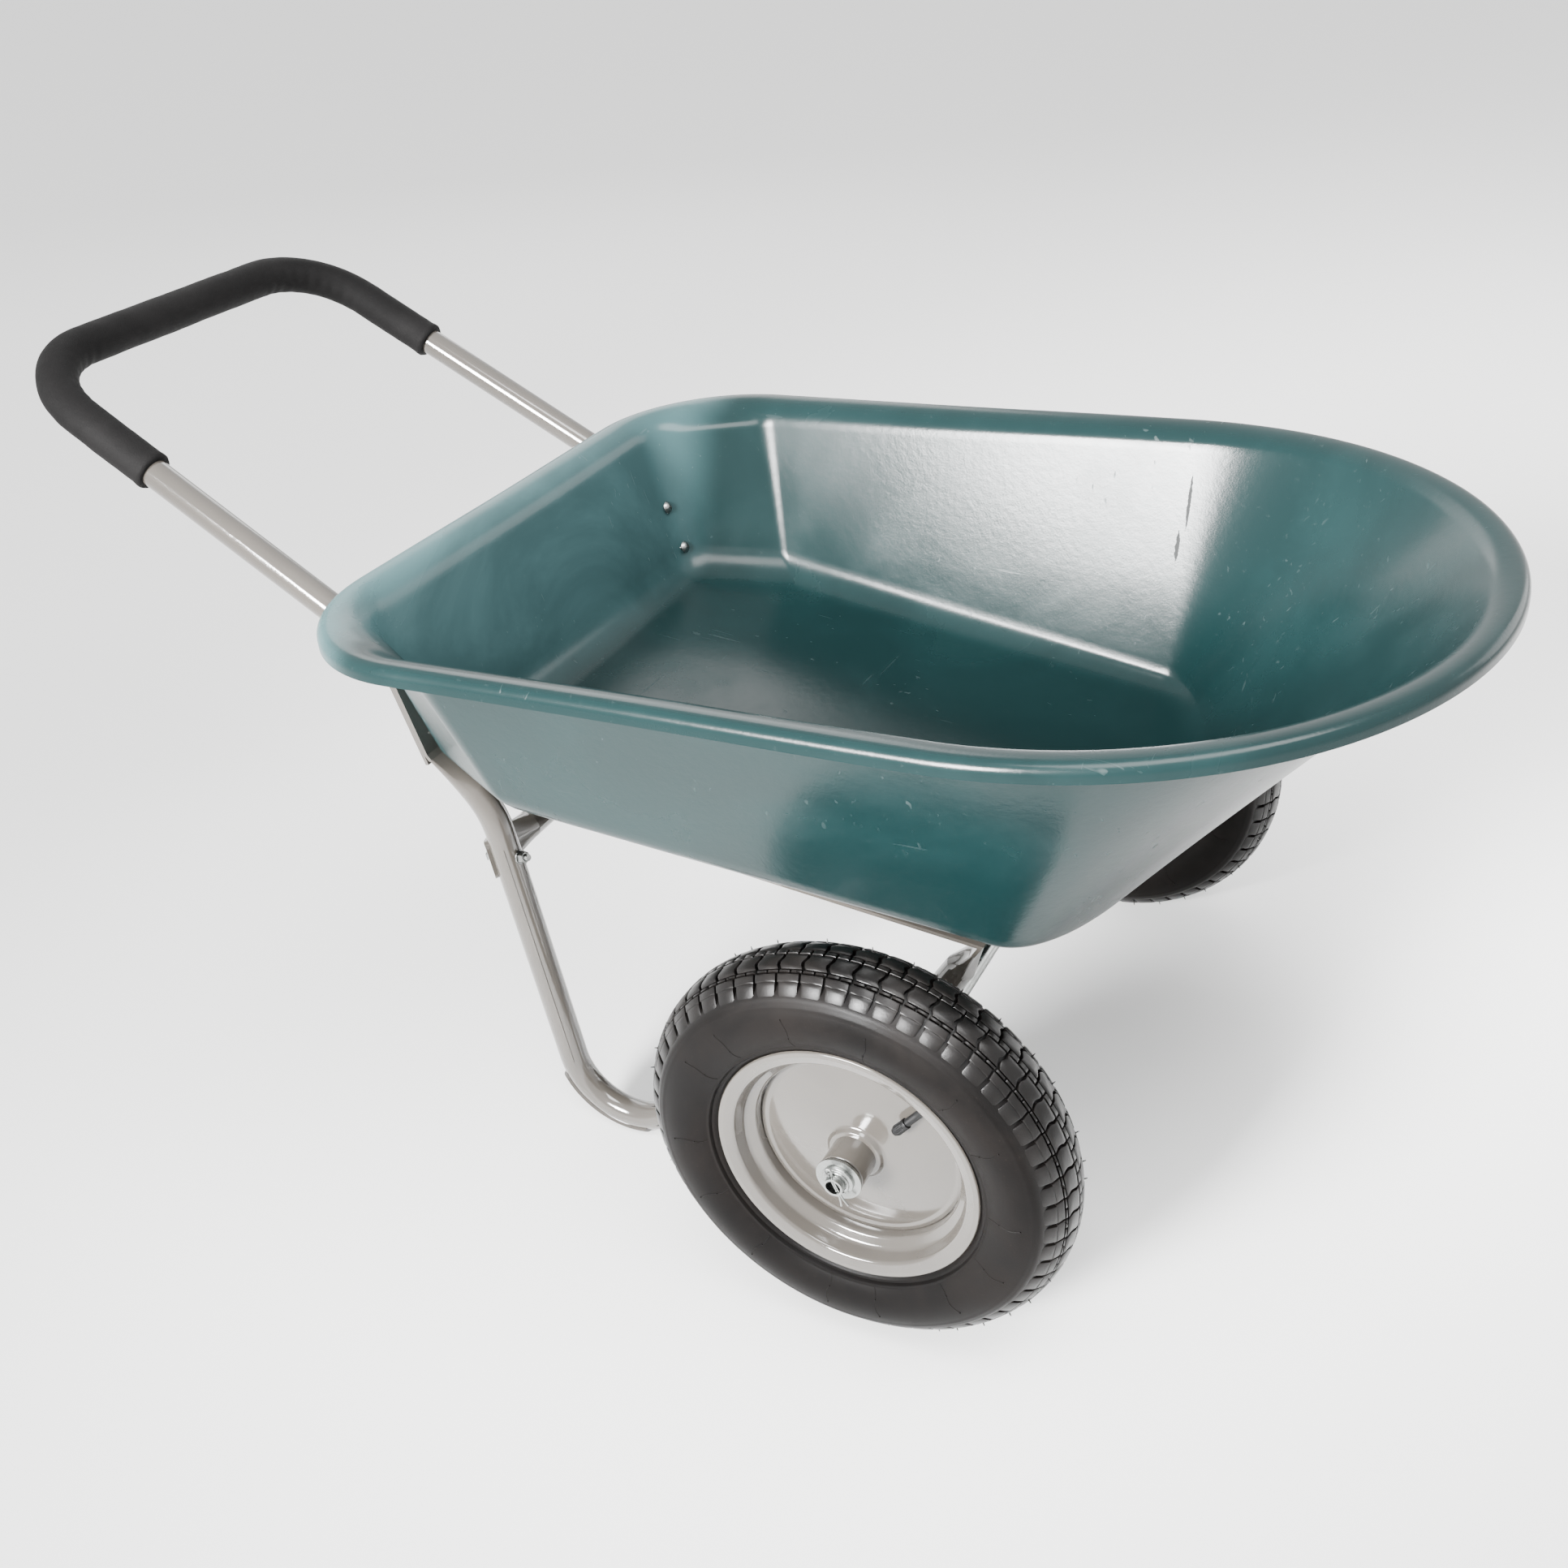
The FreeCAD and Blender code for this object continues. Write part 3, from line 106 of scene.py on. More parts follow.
class TraySizes(bpy.types.PropertyGroup):
    """Outlines of the tray: the floor, the top of the wall and the rolled brim"""
    floor_back: length("Floor back", "Where the floor meets the back wall", -0.2110)
    floor_back_half: length("Floor back half width", "Half the floor's width at the back", 0.2409)
    floor_leg_along: length("Floor bevel along", "Length of the floor's back corner bevels", 0.094)
    floor_leg_across: length("Floor bevel across", "Width of the floor's back corner bevels", 0.040)
    floor_back_bend: length("Floor back bend", "Radius of the floor bevel's rear end", 0.030)
    floor_side_bend: length("Floor side bend", "Radius of the floor bevel's front end", 0.016)
    floor_side_end: length("Floor side end", "Where the floor's straight sides end", 0.2914)
    floor_front_half: length("Floor front half width", "Half the floor's width there", 0.2178)
    floor_nose: length("Floor nose", "Where the floor meets the nose", 0.3684)
    floor_back_height: length("Floor back height", "Height of the floor at the back", 0.3716)
    floor_nose_height: length("Floor nose height", "Height of the floor at the nose", 0.3166)
    floor_fillet: length("Floor fillet", "Radius between the floor and the walls", 0.034)
    wall_back: length("Wall back", "Top of the back wall", -0.2538)
    wall_back_half: length("Wall back half width", "Half the width at the top of the back wall", 0.2864)
    wall_leg_along: length("Wall bevel along", "Length of the wall's back corner bevels", 0.097)
    wall_leg_across: length("Wall bevel across", "Width of the wall's back corner bevels", 0.062)
    wall_back_bend: length("Wall back bend", "Radius of the wall bevel's rear end", 0.053)
    wall_side_bend: length("Wall side bend", "Radius of the wall bevel's front end", 0.042)
    brim_corner: length("Brim corner", "Radius of the brim's back corners", 0.129)
    wall_side_end: length("Wall side end", "Where the straight sides end at the top", 0.2912)
    wall_front_half: length("Wall front half width", "Half the width there", 0.2964)
    wall_nose: length("Wall nose", "Top of the nose", 0.5930)
    wall_back_height: length("Wall back height", "Height of the top of the back wall", 0.5165)
    wall_nose_height: length("Wall nose height", "Height of the top of the nose", 0.5639)
    gauge: length("Gauge", "Thickness of the moulded wall", 0.0035)
    brim_reach: length("Brim reach", "From the wall's top edge out to the crown of the brim", 0.0244)
    brim_shoulder: length("Brim shoulder", "Radius of the wall's turn into the brim", 0.0292)
    brim_edge: length("Brim edge", "Radius of the brim's outer roll", 0.0092)
    brim_skirt: length("Brim skirt", "How far the brim's lower edge hangs down", 0.0050)
    waviness: length("Waviness", "How far the moulded walls stray from true", 0.0009)


class GripSizes(bpy.types.PropertyGroup):
    """The foam sleeve on the handle"""
    radius: length("Radius", "Outer radius of the foam", 0.0175)
    bore: length("Bore", "Inner radius of the foam", 0.01275)
    bend: length("Bend", "Radius of the handle's two bends", 0.074)
    slope: tilt("Slope", "Fall of the handle towards the tray", 28.68)
    splay: bpy.props.FloatProperty(
        name="Splay", description="How far each side of the handle spreads towards the tray",
        default=0.0564)
    back: length("Back", "Centre line of the crossbar", -0.6091)
    top: length("Top", "Height of the crossbar's centre line", 0.6623)
    half: length("Half width", "From the middle to a corner of the handle", 0.1792)
    front: length("Front", "Where the foam ends on each side", -0.4773)
    spacing: length("Spacing", "Distance between the rings of the foam's mesh", 0.0025)
    wrinkle: length("Wrinkle", "Depth of the creases inside the bends", 0.0003)


class WheelSizes(bpy.types.PropertyGroup):
    """Tyre, rim, disc and hub of each wheel"""
    section: length("Tyre section", "Radius of the tyre's section", 0.0406)
    middle: length("Section circle", "Radius of the circle through the section's centre", 0.1394)
    lining: length("Lining", "Inner radius of the tyre's section", 0.0360)
    groove: length("Groove", "Depth of the tread", 0.0042)
    pitches: count("Pitches", "Repeats of the tread pattern round the tyre", 54)
    vents: count("Vent marks", "Mould vent marks on each sidewall", 14)
    nubs: count("Nubs", "Whiskers of rubber beside each side of the tread", 36)
    valve_angle: tilt("Valve angle", "Where the valve sits round the wheel", 46.0)
    valve_lean: tilt("Valve lean", "How far the valve leans out of the wheel", 14.0)
    cap_radius: length("Cap radius", "Outer radius of the valve cap", 0.0045)
    cap_length: length("Cap length", "Length of the valve cap", 0.0140)
    flange: length("Flange", "Outer radius of the rim's rolled edge", 0.1104)
    hub: length("Hub", "Outer radius of the hub tube", 0.0185)
    hub_bore: length("Hub bore", "Inner radius of the hub tube", 0.0140)
    hub_half: length("Hub half length", "Half the length of the hub tube", 0.0390)
    cap_ribs: count("Cap ribs", "Ribs round the valve cap", 22)


class FittingSizes(bpy.types.PropertyGroup):
    """Nuts, pins and collars, and the weld seams of the legs"""
    nut_flats: length("Nut flats", "Across the flats of a nut", 0.0100)
    nut_height: length("Nut height", "Height of a nut", 0.0050)
    nut_bore: length("Nut bore", "Radius of a nut's bore", 0.00305)
    pin_angle: tilt("Pin angle", "Fall of the split pins towards the nose", 68.0)
    pin_wire: length("Pin wire", "Radius of the split pins' wire", 0.00085)
    pin_eye: length("Pin eye", "Radius of the split pins' eye", 0.0030)
    pin_reach: length("Pin reach", "From the axle's middle to its surface", 0.0080)
    collar_bore: length("Collar bore", "Radius of the collars' bore", 0.0081)
    leg_angle: tilt("Leg angle", "How far the legs lean back", 8.8)
    leg_out: length("Leg offset", "From the middle to a leg", 0.2000)
    tube: length("Tube", "Radius of the frame's tubes", 0.0127)
    foot_ahead: length("Foot", "Where the feet touch the ground", -0.0752)
    foot_bend: length("Foot bend", "Radius of the bend at the foot", 0.0615)
    foot_height: length("Foot height", "Height of the foot bend's middle", 0.0767)
    seam_top: length("Seam top", "Height at which a leg's weld seam ends", 0.2950)
    seam: length("Seam", "Radius of a weld seam's bead", 0.0010)


class Finishes(bpy.types.PropertyGroup):
    """Colours of the barrow's finishes, and the painted sheen on the back of the tray"""
    tray: colour("Tray", "Dark green moulded plastic", (0.0030, 0.0108, 0.0111))
    # The paler colour for the back of the tray is a painted sheen, not a film on the plastic: it stands in
    # for the broad reflection that lightens the back wall.
    painted_sheen: colour("Painted_back_sheen", "Dull film on the back of the tray", (0.042, 0.088, 0.093))
    paint: colour("Paint", "Warm grey paint of the frame and wheels", (0.058, 0.052, 0.045))
    foam: colour("Foam", "Black foam of the grip", (0.0030, 0.0028, 0.0028))
    tyre: colour("Tyre", "Black rubber", (0.0026, 0.0023, 0.0022))
    dust: colour("Dust", "Pale dust that settles on rubber", (0.016, 0.012, 0.010))
    zinc: colour("Zinc", "Bright plating of the fittings", (0.34, 0.35, 0.34))
    moulding: colour("Moulding", "Black plastic of the bushes and caps", (0.0035, 0.0035, 0.0036))
    long_rub: position("Long rub", "Middle of the long rub mark on the left wall", (0.296, 0.266, 0.491))
    long_half: length("Long rub half length", "Half the long rub mark's height", 0.026)
    long_width: length("Long rub half width", "Half the long rub mark's width", 0.0018)
    short_rub: position("Short rub", "Middle of the short rub mark on the left wall", (0.290, 0.255, 0.452))
    short_half: length("Short rub half length", "Half the short rub mark's height", 0.016)
    short_width: length("Short rub half width", "Half the short rub mark's width", 0.0022)

    def rub_marks(self):
        """(middle, half length, half width) of the marks rubbed into the tray."""
        return ((tuple(self.long_rub), self.long_half, self.long_width),
                (tuple(self.short_rub), self.short_half, self.short_width))


class StageSizes(bpy.types.PropertyGroup):
    """Floor, lights and camera"""
    floor: length("Floor", "Width of the floor", 26.0)
    floor_tone: colour("Floor tone", "Colour of the floor", (0.90, 0.90, 0.895))
    top: power("Top light", "Power of the light above", 135.0)
    front: power("Front light", "Power of the gridded light at the front", 60.0)
    spread: tilt("Front spread", "Angle of the front light's grid", 38)
    back: power("Back light", "Power of the light behind the handle", 26.0)
    nose: power("Nose light", "Power of the light behind the nose", 30.0)
    sky: bpy.props.FloatProperty(name="Sky", description="Strength of the even light", default=1.6)


# ---------------------------------------------------------------- meshes

def new_piece(name, points, faces, smooth_angle=40):
    """A mesh object at the origin, shaded smooth except across sharp edges."""
    mesh = bpy.data.meshes.new(name)
    mesh.from_pydata([tuple(point) for point in points], [], faces)
    work = bmesh.new()
    work.from_mesh(mesh)
    bmesh.ops.remove_doubles(work, verts=work.verts, dist=1e-6)
    bmesh.ops.recalc_face_normals(work, faces=work.faces)
    work.to_mesh(mesh)
    work.free()
    shade(mesh, smooth_angle)
    thing = bpy.data.objects.new(name, mesh)
    bpy.context.scene.collection.objects.link(thing)
    return thing


def faces_between(rings, around, closed=False):
    """Four-sided faces between neighbouring rings of points; closed joins the last to the first."""
    faces = []
    for ring in range(rings if closed else rings - 1):
        here = ring * around
        there = (ring + 1) % rings * around
        for index in range(around):
            after = (index + 1) % around
            faces.append((here + index, here + after, there + after, there + index))
    return faces


def shade(mesh, smooth_angle):
    mesh.shade_smooth()
    mesh.set_sharp_from_angle(angle=math.radians(smooth_angle))


def finished(thing, body, material=None, replaced=()):
    """Gives a piece its material, its body and the frame nodes it stands for."""
    if material is not None:
        thing.data.materials.clear()
        thing.data.materials.append(material)
    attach(thing, body)
    if replaced:
        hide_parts(*replaced)
    return thing


def joined(name, things):
    """Joins mesh objects into one."""
    work = bmesh.new()
    for thing in things:
        work.from_mesh(thing.data)
        old = thing.data
        bpy.data.objects.remove(thing)
        bpy.data.meshes.remove(old)
    mesh = bpy.data.meshes.new(name)
    work.to_mesh(mesh)
    work.free()
    shade(mesh, 40)
    whole = bpy.data.objects.new(name, mesh)
    bpy.context.scene.collection.objects.link(whole)
    return whole


def rounded(corners, steps=5):
    """A closed outline through (x, y, radius) corners, with an arc at each."""
    outline = []
    total = len(corners)
    for index in range(total):
        before = Vector(corners[index - 1][:2])
        corner = Vector(corners[index][:2])
        after = Vector(corners[(index + 1) % total][:2])
        radius = corners[index][2]
        inward = (before - corner).normalized()
        outward = (after - corner).normalized()
        half = inward.angle(outward) / 2
        if radius <= 0 or half > math.radians(89):
            outline.append(corner)
            continue
        reach = radius / math.tan(half)
        centre = corner + (inward + outward).normalized() * (radius / math.sin(half))
        start = corner + inward * reach - centre
        stop = corner + outward * reach - centre
        sweep = start.angle_signed(stop)
        for part in range(steps + 1):
            turned = start.copy()
            turned.rotate(Matrix.Rotation(-sweep * part / steps, 2))
            outline.append(centre + turned)
    return outline


def lathe(name, outline, segments, centre, side, smooth_angle=40):
    """A closed (outward, radius) outline turned about the wheel's axis."""
    points = []
    for step in range(segments):
        angle = 2 * math.pi * step / segments
        for out, radius in outline:
            points.append(centre + Vector((radius * math.cos(angle), side * out, radius * math.sin(angle))))
    return new_piece(name, points, faces_between(segments, len(outline), True), smooth_angle)


def rod(name, path, radii, ring=16):
    """A round bar along points, with a radius at each point."""
    points = []
    along = (path[1] - path[0]).normalized()
    side = along.orthogonal().normalized()
    for index, spot in enumerate(path):
        before = path[max(index - 1, 0)]
        after = path[min(index + 1, len(path) - 1)]
        heading = (after - before).normalized()
        side = (side - heading * side.dot(heading)).normalized()
        up = heading.cross(side)
        for step in range(ring):
            angle = 2 * math.pi * step / ring
            points.append(spot + (side * math.cos(angle) + up * math.sin(angle)) * radii[index])
    last = (len(path) - 1) * ring
    faces = faces_between(len(path), ring)
    faces += [tuple(range(ring))[::-1], tuple(range(last, last + ring))]
    return new_piece(name, points, faces)


# ---------------------------------------------------------------- geometry node trees

def tree_output(tree, geometry):
    out = tree.nodes.new("NodeGroupOutput")
    tree.links.new(geometry, out.inputs["Geometry"])


def ring_tree():
    """The tree that repeats a shape round an axis: the tread, the vent marks and the cap's ribs."""
    return bpy.data.node_groups.get(RING_TREE) or new_ring_tree()


def new_ring_tree():
    tree = bpy.data.node_groups.new(RING_TREE, "GeometryNodeTree")
    for name, kind, direction in (
            ("Geometry", "NodeSocketGeometry", "INPUT"), ("Count", "NodeSocketInt", "INPUT"),
            ("Centre", "NodeSocketVector", "INPUT"), ("Scatter", "NodeSocketFloat", "INPUT"),
            ("Seed", "NodeSocketInt", "INPUT"), ("Material", "NodeSocketMaterial", "INPUT"),
            ("Geometry", "NodeSocketGeometry", "OUTPUT")):
        tree.interface.new_socket(name=name, in_out=direction, socket_type=kind)
    nodes = tree.nodes
    links = tree.links
    start = nodes.new("NodeGroupInput")

    def maths(operation, *values):
        step = nodes.new("ShaderNodeMath")
        step.operation = operation
        for socket, value in zip(step.inputs, values):
            if isinstance(value, (int, float)):
                socket.default_value = value
            else:
                links.new(value, socket)
        return step.outputs[0]

    to_axis = nodes.new("GeometryNodeTransform")
    away = nodes.new("ShaderNodeVectorMath")
    away.operation = "SCALE"
    away.inputs["Scale"].default_value = -1
    links.new(start.outputs["Centre"], away.inputs[0])
    links.new(start.outputs["Geometry"], to_axis.inputs["Geometry"])
    links.new(away.outputs[0], to_axis.inputs["Translation"])

    line = nodes.new("GeometryNodeMeshLine")
    line.inputs["Offset"].default_value = (0, 0, 0)
    links.new(start.outputs["Count"], line.inputs["Count"])
    links.new(start.outputs["Centre"], line.inputs["Start Location"])

    index = nodes.new("GeometryNodeInputIndex")
    step = maths("DIVIDE", 2 * math.pi, start.outputs["Count"])
    turn = maths("MULTIPLY", index.outputs[0], step)
    wander = nodes.new("FunctionNodeRandomValue")
    wander.inputs[2].default_value = -1
    wander.inputs[3].default_value = 1
    links.new(start.outputs["Seed"], wander.inputs["Seed"])
    strayed = maths("MULTIPLY", wander.outputs[1], maths("MULTIPLY", start.outputs["Scatter"], step))
    angle = maths("ADD", turn, strayed)
    rotation = nodes.new("ShaderNodeCombineXYZ")
    links.new(angle, rotation.inputs["Y"])

    copies = nodes.new("GeometryNodeInstanceOnPoints")
    links.new(line.outputs["Mesh"], copies.inputs["Points"])
    links.new(to_axis.outputs["Geometry"], copies.inputs["Instance"])
    links.new(rotation.outputs[0], copies.inputs["Rotation"])
    real = nodes.new("GeometryNodeRealizeInstances")
    links.new(copies.outputs["Instances"], real.inputs["Geometry"])
    paint = nodes.new("GeometryNodeSetMaterial")
    links.new(real.outputs["Geometry"], paint.inputs["Geometry"])
    links.new(start.outputs["Material"], paint.inputs["Material"])
    tree_output(tree, paint.outputs["Geometry"])
    return tree


def made_plain(thing, tree, inputs, smooth_angle=40):
    """Runs a node tree on a piece and keeps the result as a plain mesh."""
    modifier = thing.modifiers.new("Repeat", "NODES")
    modifier.node_group = tree
    sockets = {item.name: item.identifier for item in tree.interface.items_tree
               if item.item_type == "SOCKET" and item.in_out == "INPUT"}
    for name, value in inputs.items():
        modifier[sockets[name]] = value
    graph = bpy.context.evaluated_depsgraph_get()
    mesh = bpy.data.meshes.new_from_object(thing.evaluated_get(graph), depsgraph=graph)
    thing.modifiers.remove(modifier)
    old = thing.data
    thing.data = mesh
    bpy.data.meshes.remove(old)
    shade(mesh, smooth_angle)
    return thing


# ---------------------------------------------------------------- material parts

class Sheet:
    """A node tree being filled in, for a material or a shader group."""

    def __init__(self, tree):
        self.tree = tree
        self.nodes = tree.nodes
        self.links = tree.links

    def set(self, socket, value):
        if isinstance(value, bpy.types.NodeSocket):
            self.links.new(value, socket)
        else:
            socket.default_value = value

    def node(self, kind, output=0, settings=None, **inputs):
        node = self.nodes.new(kind)
        for name, value in (settings or {}).items():
            setattr(node, name, value)
        for name, value in inputs.items():
            self.set(node.inputs[name.replace("_", " ")], value)
        return node.outputs[output]

    def maths(self, operation, *values, clamp=False):
        node = self.nodes.new("ShaderNodeMath")
        node.operation = operation
        node.use_clamp = clamp
        for socket, value in zip(node.inputs, values):
            self.set(socket, value)
        return node.outputs[0]

    def place(self):
        return self.nodes.new("ShaderNodeTexCoord").outputs["Object"]

    def scaled(self, vector, scale, turn=(0, 0, 0)):
        return self.node("ShaderNodeMapping", Vector=vector, Scale=scale, Rotation=turn)

    def noise(self, vector, scale, detail=4.0, roughness=0.55, distortion=0.0):
        return self.node("ShaderNodeTexNoise", Vector=vector, Scale=scale, Detail=detail,
                         Roughness=roughness, Distortion=distortion)

    def ramp(self, value, low, high):
        """0 below low and 1 above high, with a smooth rise between."""
        node = self.nodes.new("ShaderNodeMapRange")
        node.interpolation_type = "SMOOTHSTEP"
        self.set(node.inputs["Value"], value)
        node.inputs["From Min"].default_value = low
        node.inputs["From Max"].default_value = high
        return node.outputs["Result"]

    def mix(self, share, first, second):
        node = self.nodes.new("ShaderNodeMix")
        node.data_type = "RGBA"
        self.set(node.inputs[0], share)
        self.set(node.inputs[6], first)
        self.set(node.inputs[7], second)
        return node.outputs[2]

    def bump(self, height, strength, distance):
        return self.node("ShaderNodeBump", Height=height, Strength=strength, Distance=distance)

    def group(self, tree, **inputs):
        node = self.nodes.new("ShaderNodeGroup")
        node.node_tree = tree
        for name, value in inputs.items():
            self.set(node.inputs[name.replace("_", " ")], value)
        return node


def rgba(colour_value, scale=1.0):
    return tuple(min(part * scale, 1.0) for part in colour_value) + (1.0,)


def shader_group(name, inputs, outputs):
    """An empty shader group with named sockets, as (sheet, input node, output node)."""
    tree = bpy.data.node_groups.new(name, "ShaderNodeTree")
    for label, kind, value in inputs:
        socket = tree.interface.new_socket(name=label, in_out="INPUT", socket_type=kind)
        if value is not None:
            socket.default_value = value
    for label, kind in outputs:
        tree.interface.new_socket(name=label, in_out="OUTPUT", socket_type=kind)
    return Sheet(tree), tree.nodes.new("NodeGroupInput"), tree.nodes.new("NodeGroupOutput")


def scratches_group():
    """Fine scratches in two directions, as a mask of thin broken lines."""
    sheet, start, end = shader_group(
        "Fine scratches",
        [("Vector", "NodeSocketVector", None), ("Scale", "NodeSocketFloat", 1.0),
         ("Amount", "NodeSocketFloat", 0.5)],
        [("Mask", "NodeSocketFloat")])
    vector = sheet.node("ShaderNodeVectorMath", settings={"operation": "SCALE"})
    scale_node = vector.node
    sheet.set(scale_node.inputs[0], start.outputs["Vector"])
    sheet.set(scale_node.inputs["Scale"], start.outputs["Scale"])
    masks = []
    for turn, stretch in (((0.3, 0.5, 0.4), (5, 240, 90)), ((1.1, 0.2, 1.9), (200, 7, 120)),
                          ((0.7, 1.4, 0.1), (90, 150, 4))):
        lines = sheet.noise(sheet.scaled(vector, stretch, turn), 1.0, 2.0, 0.5, 0.4)
        masks.append(sheet.ramp(lines, 0.70, 0.78))
    patches = sheet.ramp(sheet.noise(vector, 9.0, 2.0), 0.42, 0.66)
    both = sheet.maths("MAXIMUM", masks[0], sheet.maths("MAXIMUM", masks[1], masks[2]))
    amount = sheet.maths("MULTIPLY", patches, start.outputs["Amount"])
    shown = sheet.maths("MULTIPLY", both, amount, clamp=True)
    sheet.set(end.inputs["Mask"], shown)
    return sheet.tree


def scuffs_group():
    """Cloudy handling marks: a broad haze with finer streaks in it."""
    sheet, start, end = shader_group(
        "Handling haze",
        [("Vector", "NodeSocketVector", None), ("Scale", "NodeSocketFloat", 6.0)],
        [("Cloud", "NodeSocketFloat"), ("Speck", "NodeSocketFloat")])
    broad = sheet.node("ShaderNodeTexNoise", Vector=start.outputs["Vector"], Scale=start.outputs["Scale"],
                       Detail=6.0, Roughness=0.62, Distortion=0.6)
    sheet.set(end.inputs["Cloud"], sheet.ramp(broad, 0.38, 0.72))
    fine = sheet.node("ShaderNodeTexNoise", Vector=start.outputs["Vector"],
                      Scale=sheet.maths("MULTIPLY", start.outputs["Scale"], 38.0), Detail=3.0, Roughness=0.7)
    sheet.set(end.inputs["Speck"], sheet.ramp(fine, 0.64, 0.74))
    return sheet.tree


def skin_group():
    """The slight orange peel of paint or moulding, as a bump height."""
    sheet, start, end = shader_group(
        "Surface peel",
        [("Vector", "NodeSocketVector", None), ("Scale", "NodeSocketFloat", 300.0)],
        [("Height", "NodeSocketFloat")])
    coarse = sheet.node("ShaderNodeTexNoise", Vector=start.outputs["Vector"], Scale=start.outputs["Scale"],
                        Detail=2.0, Roughness=0.5)
    fine = sheet.node("ShaderNodeTexNoise", Vector=start.outputs["Vector"],
                      Scale=sheet.maths("MULTIPLY", start.outputs["Scale"], 4.0), Detail=2.0, Roughness=0.5)
    height = sheet.maths("ADD", sheet.maths("MULTIPLY", coarse, 0.75), sheet.maths("MULTIPLY", fine, 0.25))
    sheet.set(end.inputs["Height"], height)
    return sheet.tree


def rubs_group():
    """One ragged upright rub mark at a place on a wall."""
    sheet, start, end = shader_group(
        "Rub mark",
        [("Vector", "NodeSocketVector", None), ("Centre", "NodeSocketVector", None),
         ("Half length", "NodeSocketFloat", 0.02), ("Half width", "NodeSocketFloat", 0.002)],
        [("Mask", "NodeSocketFloat")])
    away = sheet.node("ShaderNodeVectorMath", settings={"operation": "SUBTRACT"}).node
    sheet.set(away.inputs[0], start.outputs["Vector"])
    sheet.set(away.inputs[1], start.outputs["Centre"])
    parts = sheet.node("ShaderNodeSeparateXYZ", Vector=away.outputs[0]).node
    tall = sheet.maths("DIVIDE", sheet.maths("ABSOLUTE", parts.outputs["Z"]), start.outputs["Half length"])
    ragged = sheet.maths("MULTIPLY_ADD", sheet.noise(start.outputs["Vector"], 260.0, 3.0), 1.4, -0.7)
    shift = sheet.maths("ABSOLUTE", parts.outputs["X"])
    wide = sheet.maths("ADD", sheet.maths("DIVIDE", shift, start.outputs["Half width"]), ragged)
    depth = sheet.maths("LESS_THAN", sheet.maths("ABSOLUTE", parts.outputs["Y"]), 0.03)
    size = sheet.maths("ADD", sheet.maths("POWER", tall, 2.0), sheet.maths("MAXIMUM", wide, 0.0))
    mask = sheet.maths("SUBTRACT", 1.0, sheet.ramp(size, 0.75, 1.05))
    sheet.set(end.inputs["Mask"], sheet.maths("MULTIPLY", sheet.maths("MULTIPLY", mask, depth), 0.85))
    return sheet.tree


def new_material(name):
    material = bpy.data.materials.new(name)
    material.use_nodes = True
    sheet = Sheet(material.node_tree)
    shader = sheet.nodes["Principled BSDF"]
    return material, sheet, shader


class Effects:
    """The shared groups and the barrow's materials, made once."""
    groups = {}
    materials = {}

    @classmethod
    def group(cls, name):
        makers = {"scratches": scratches_group, "scuffs": scuffs_group,
                  "skin": skin_group, "rubs": rubs_group}
        if name not in cls.groups:
            cls.groups[name] = makers[name]()
        return cls.groups[name]

    @classmethod
    def material(cls, name):
        makers = {"tray": tray_plastic, "paint": grey_paint, "foam": grip_foam, "tyre": tyre_rubber,
                  "zinc": zinc_plate, "moulding": black_moulding}
        if name not in cls.materials:
            cls.materials[name] = makers[name](bpy.context.scene.barrow_finishes)
        return cls.materials[name]


def tray_plastic(finishes):
    """Glossy dark green moulded plastic with a haze of fine scratches, and a paler painted sheen on the back
    of the tray.
    """
    material, sheet, shader = new_material("Green moulded plastic")
    place = sheet.place()
    scuffs = sheet.group(Effects.group("scuffs"), Vector=place, Scale=5.0)
    scratches = sheet.group(Effects.group("scratches"), Vector=place, Scale=1.0, Amount=0.8)
    base = sheet.mix(scuffs.outputs["Cloud"], rgba(finishes.tray), rgba(finishes.tray, 1.35))
    # Painted sheen: the back of the tray is mixed towards a paler colour that stands in for the broad
    # reflection lightening it, made uneven by the haze.
    depth = sheet.node("ShaderNodeSeparateXYZ", Vector=place).node.outputs["X"]
    painted_sheen = sheet.maths("SUBTRACT", 1.0, sheet.ramp(depth, -0.245, -0.185))
    painted_sheen = sheet.maths("MULTIPLY", painted_sheen, sheet.maths("MULTIPLY_ADD", scuffs.outputs["Cloud"], 0.4, 0.6))
    base = sheet.mix(painted_sheen, base, rgba(finishes.painted_sheen))
    marks = sheet.maths("MULTIPLY", scratches.outputs["Mask"], 0.3)
    base = sheet.mix(marks, base, (0.06, 0.085, 0.085, 1))
    rubs = [sheet.group(Effects.group("rubs"), Vector=place, Centre=centre,
                        Half_length=half, Half_width=wide)
            for centre, half, wide in finishes.rub_marks()]
    rubbed = sheet.maths("MAXIMUM", rubs[0].outputs["Mask"], rubs[1].outputs["Mask"])
    base = sheet.mix(rubbed, base, (0.012, 0.012, 0.012, 1))
    specks = sheet.maths("MULTIPLY", scuffs.outputs["Speck"], 0.08)
    sheet.set(shader.inputs["Base Color"], sheet.mix(specks, base, (0.08, 0.10, 0.10, 1)))
    rough = sheet.maths("MULTIPLY_ADD", scuffs.outputs["Cloud"], 0.10, 0.20)
    rough = sheet.maths("MULTIPLY_ADD", scratches.outputs["Mask"], 0.30, rough)
    rough = sheet.maths("MULTIPLY_ADD", rubbed, 0.50, rough)
    sheet.set(shader.inputs["Roughness"], rough)
    shader.inputs["Specular IOR Level"].default_value = 0.23
    peel = sheet.group(Effects.group("skin"), Vector=place, Scale=140.0)
    height = sheet.maths("SUBTRACT", peel.outputs["Height"],
                         sheet.maths("MULTIPLY", scratches.outputs["Mask"], 0.5))
    sheet.set(shader.inputs["Normal"], sheet.bump(height, 0.10, 0.0012))
    return material


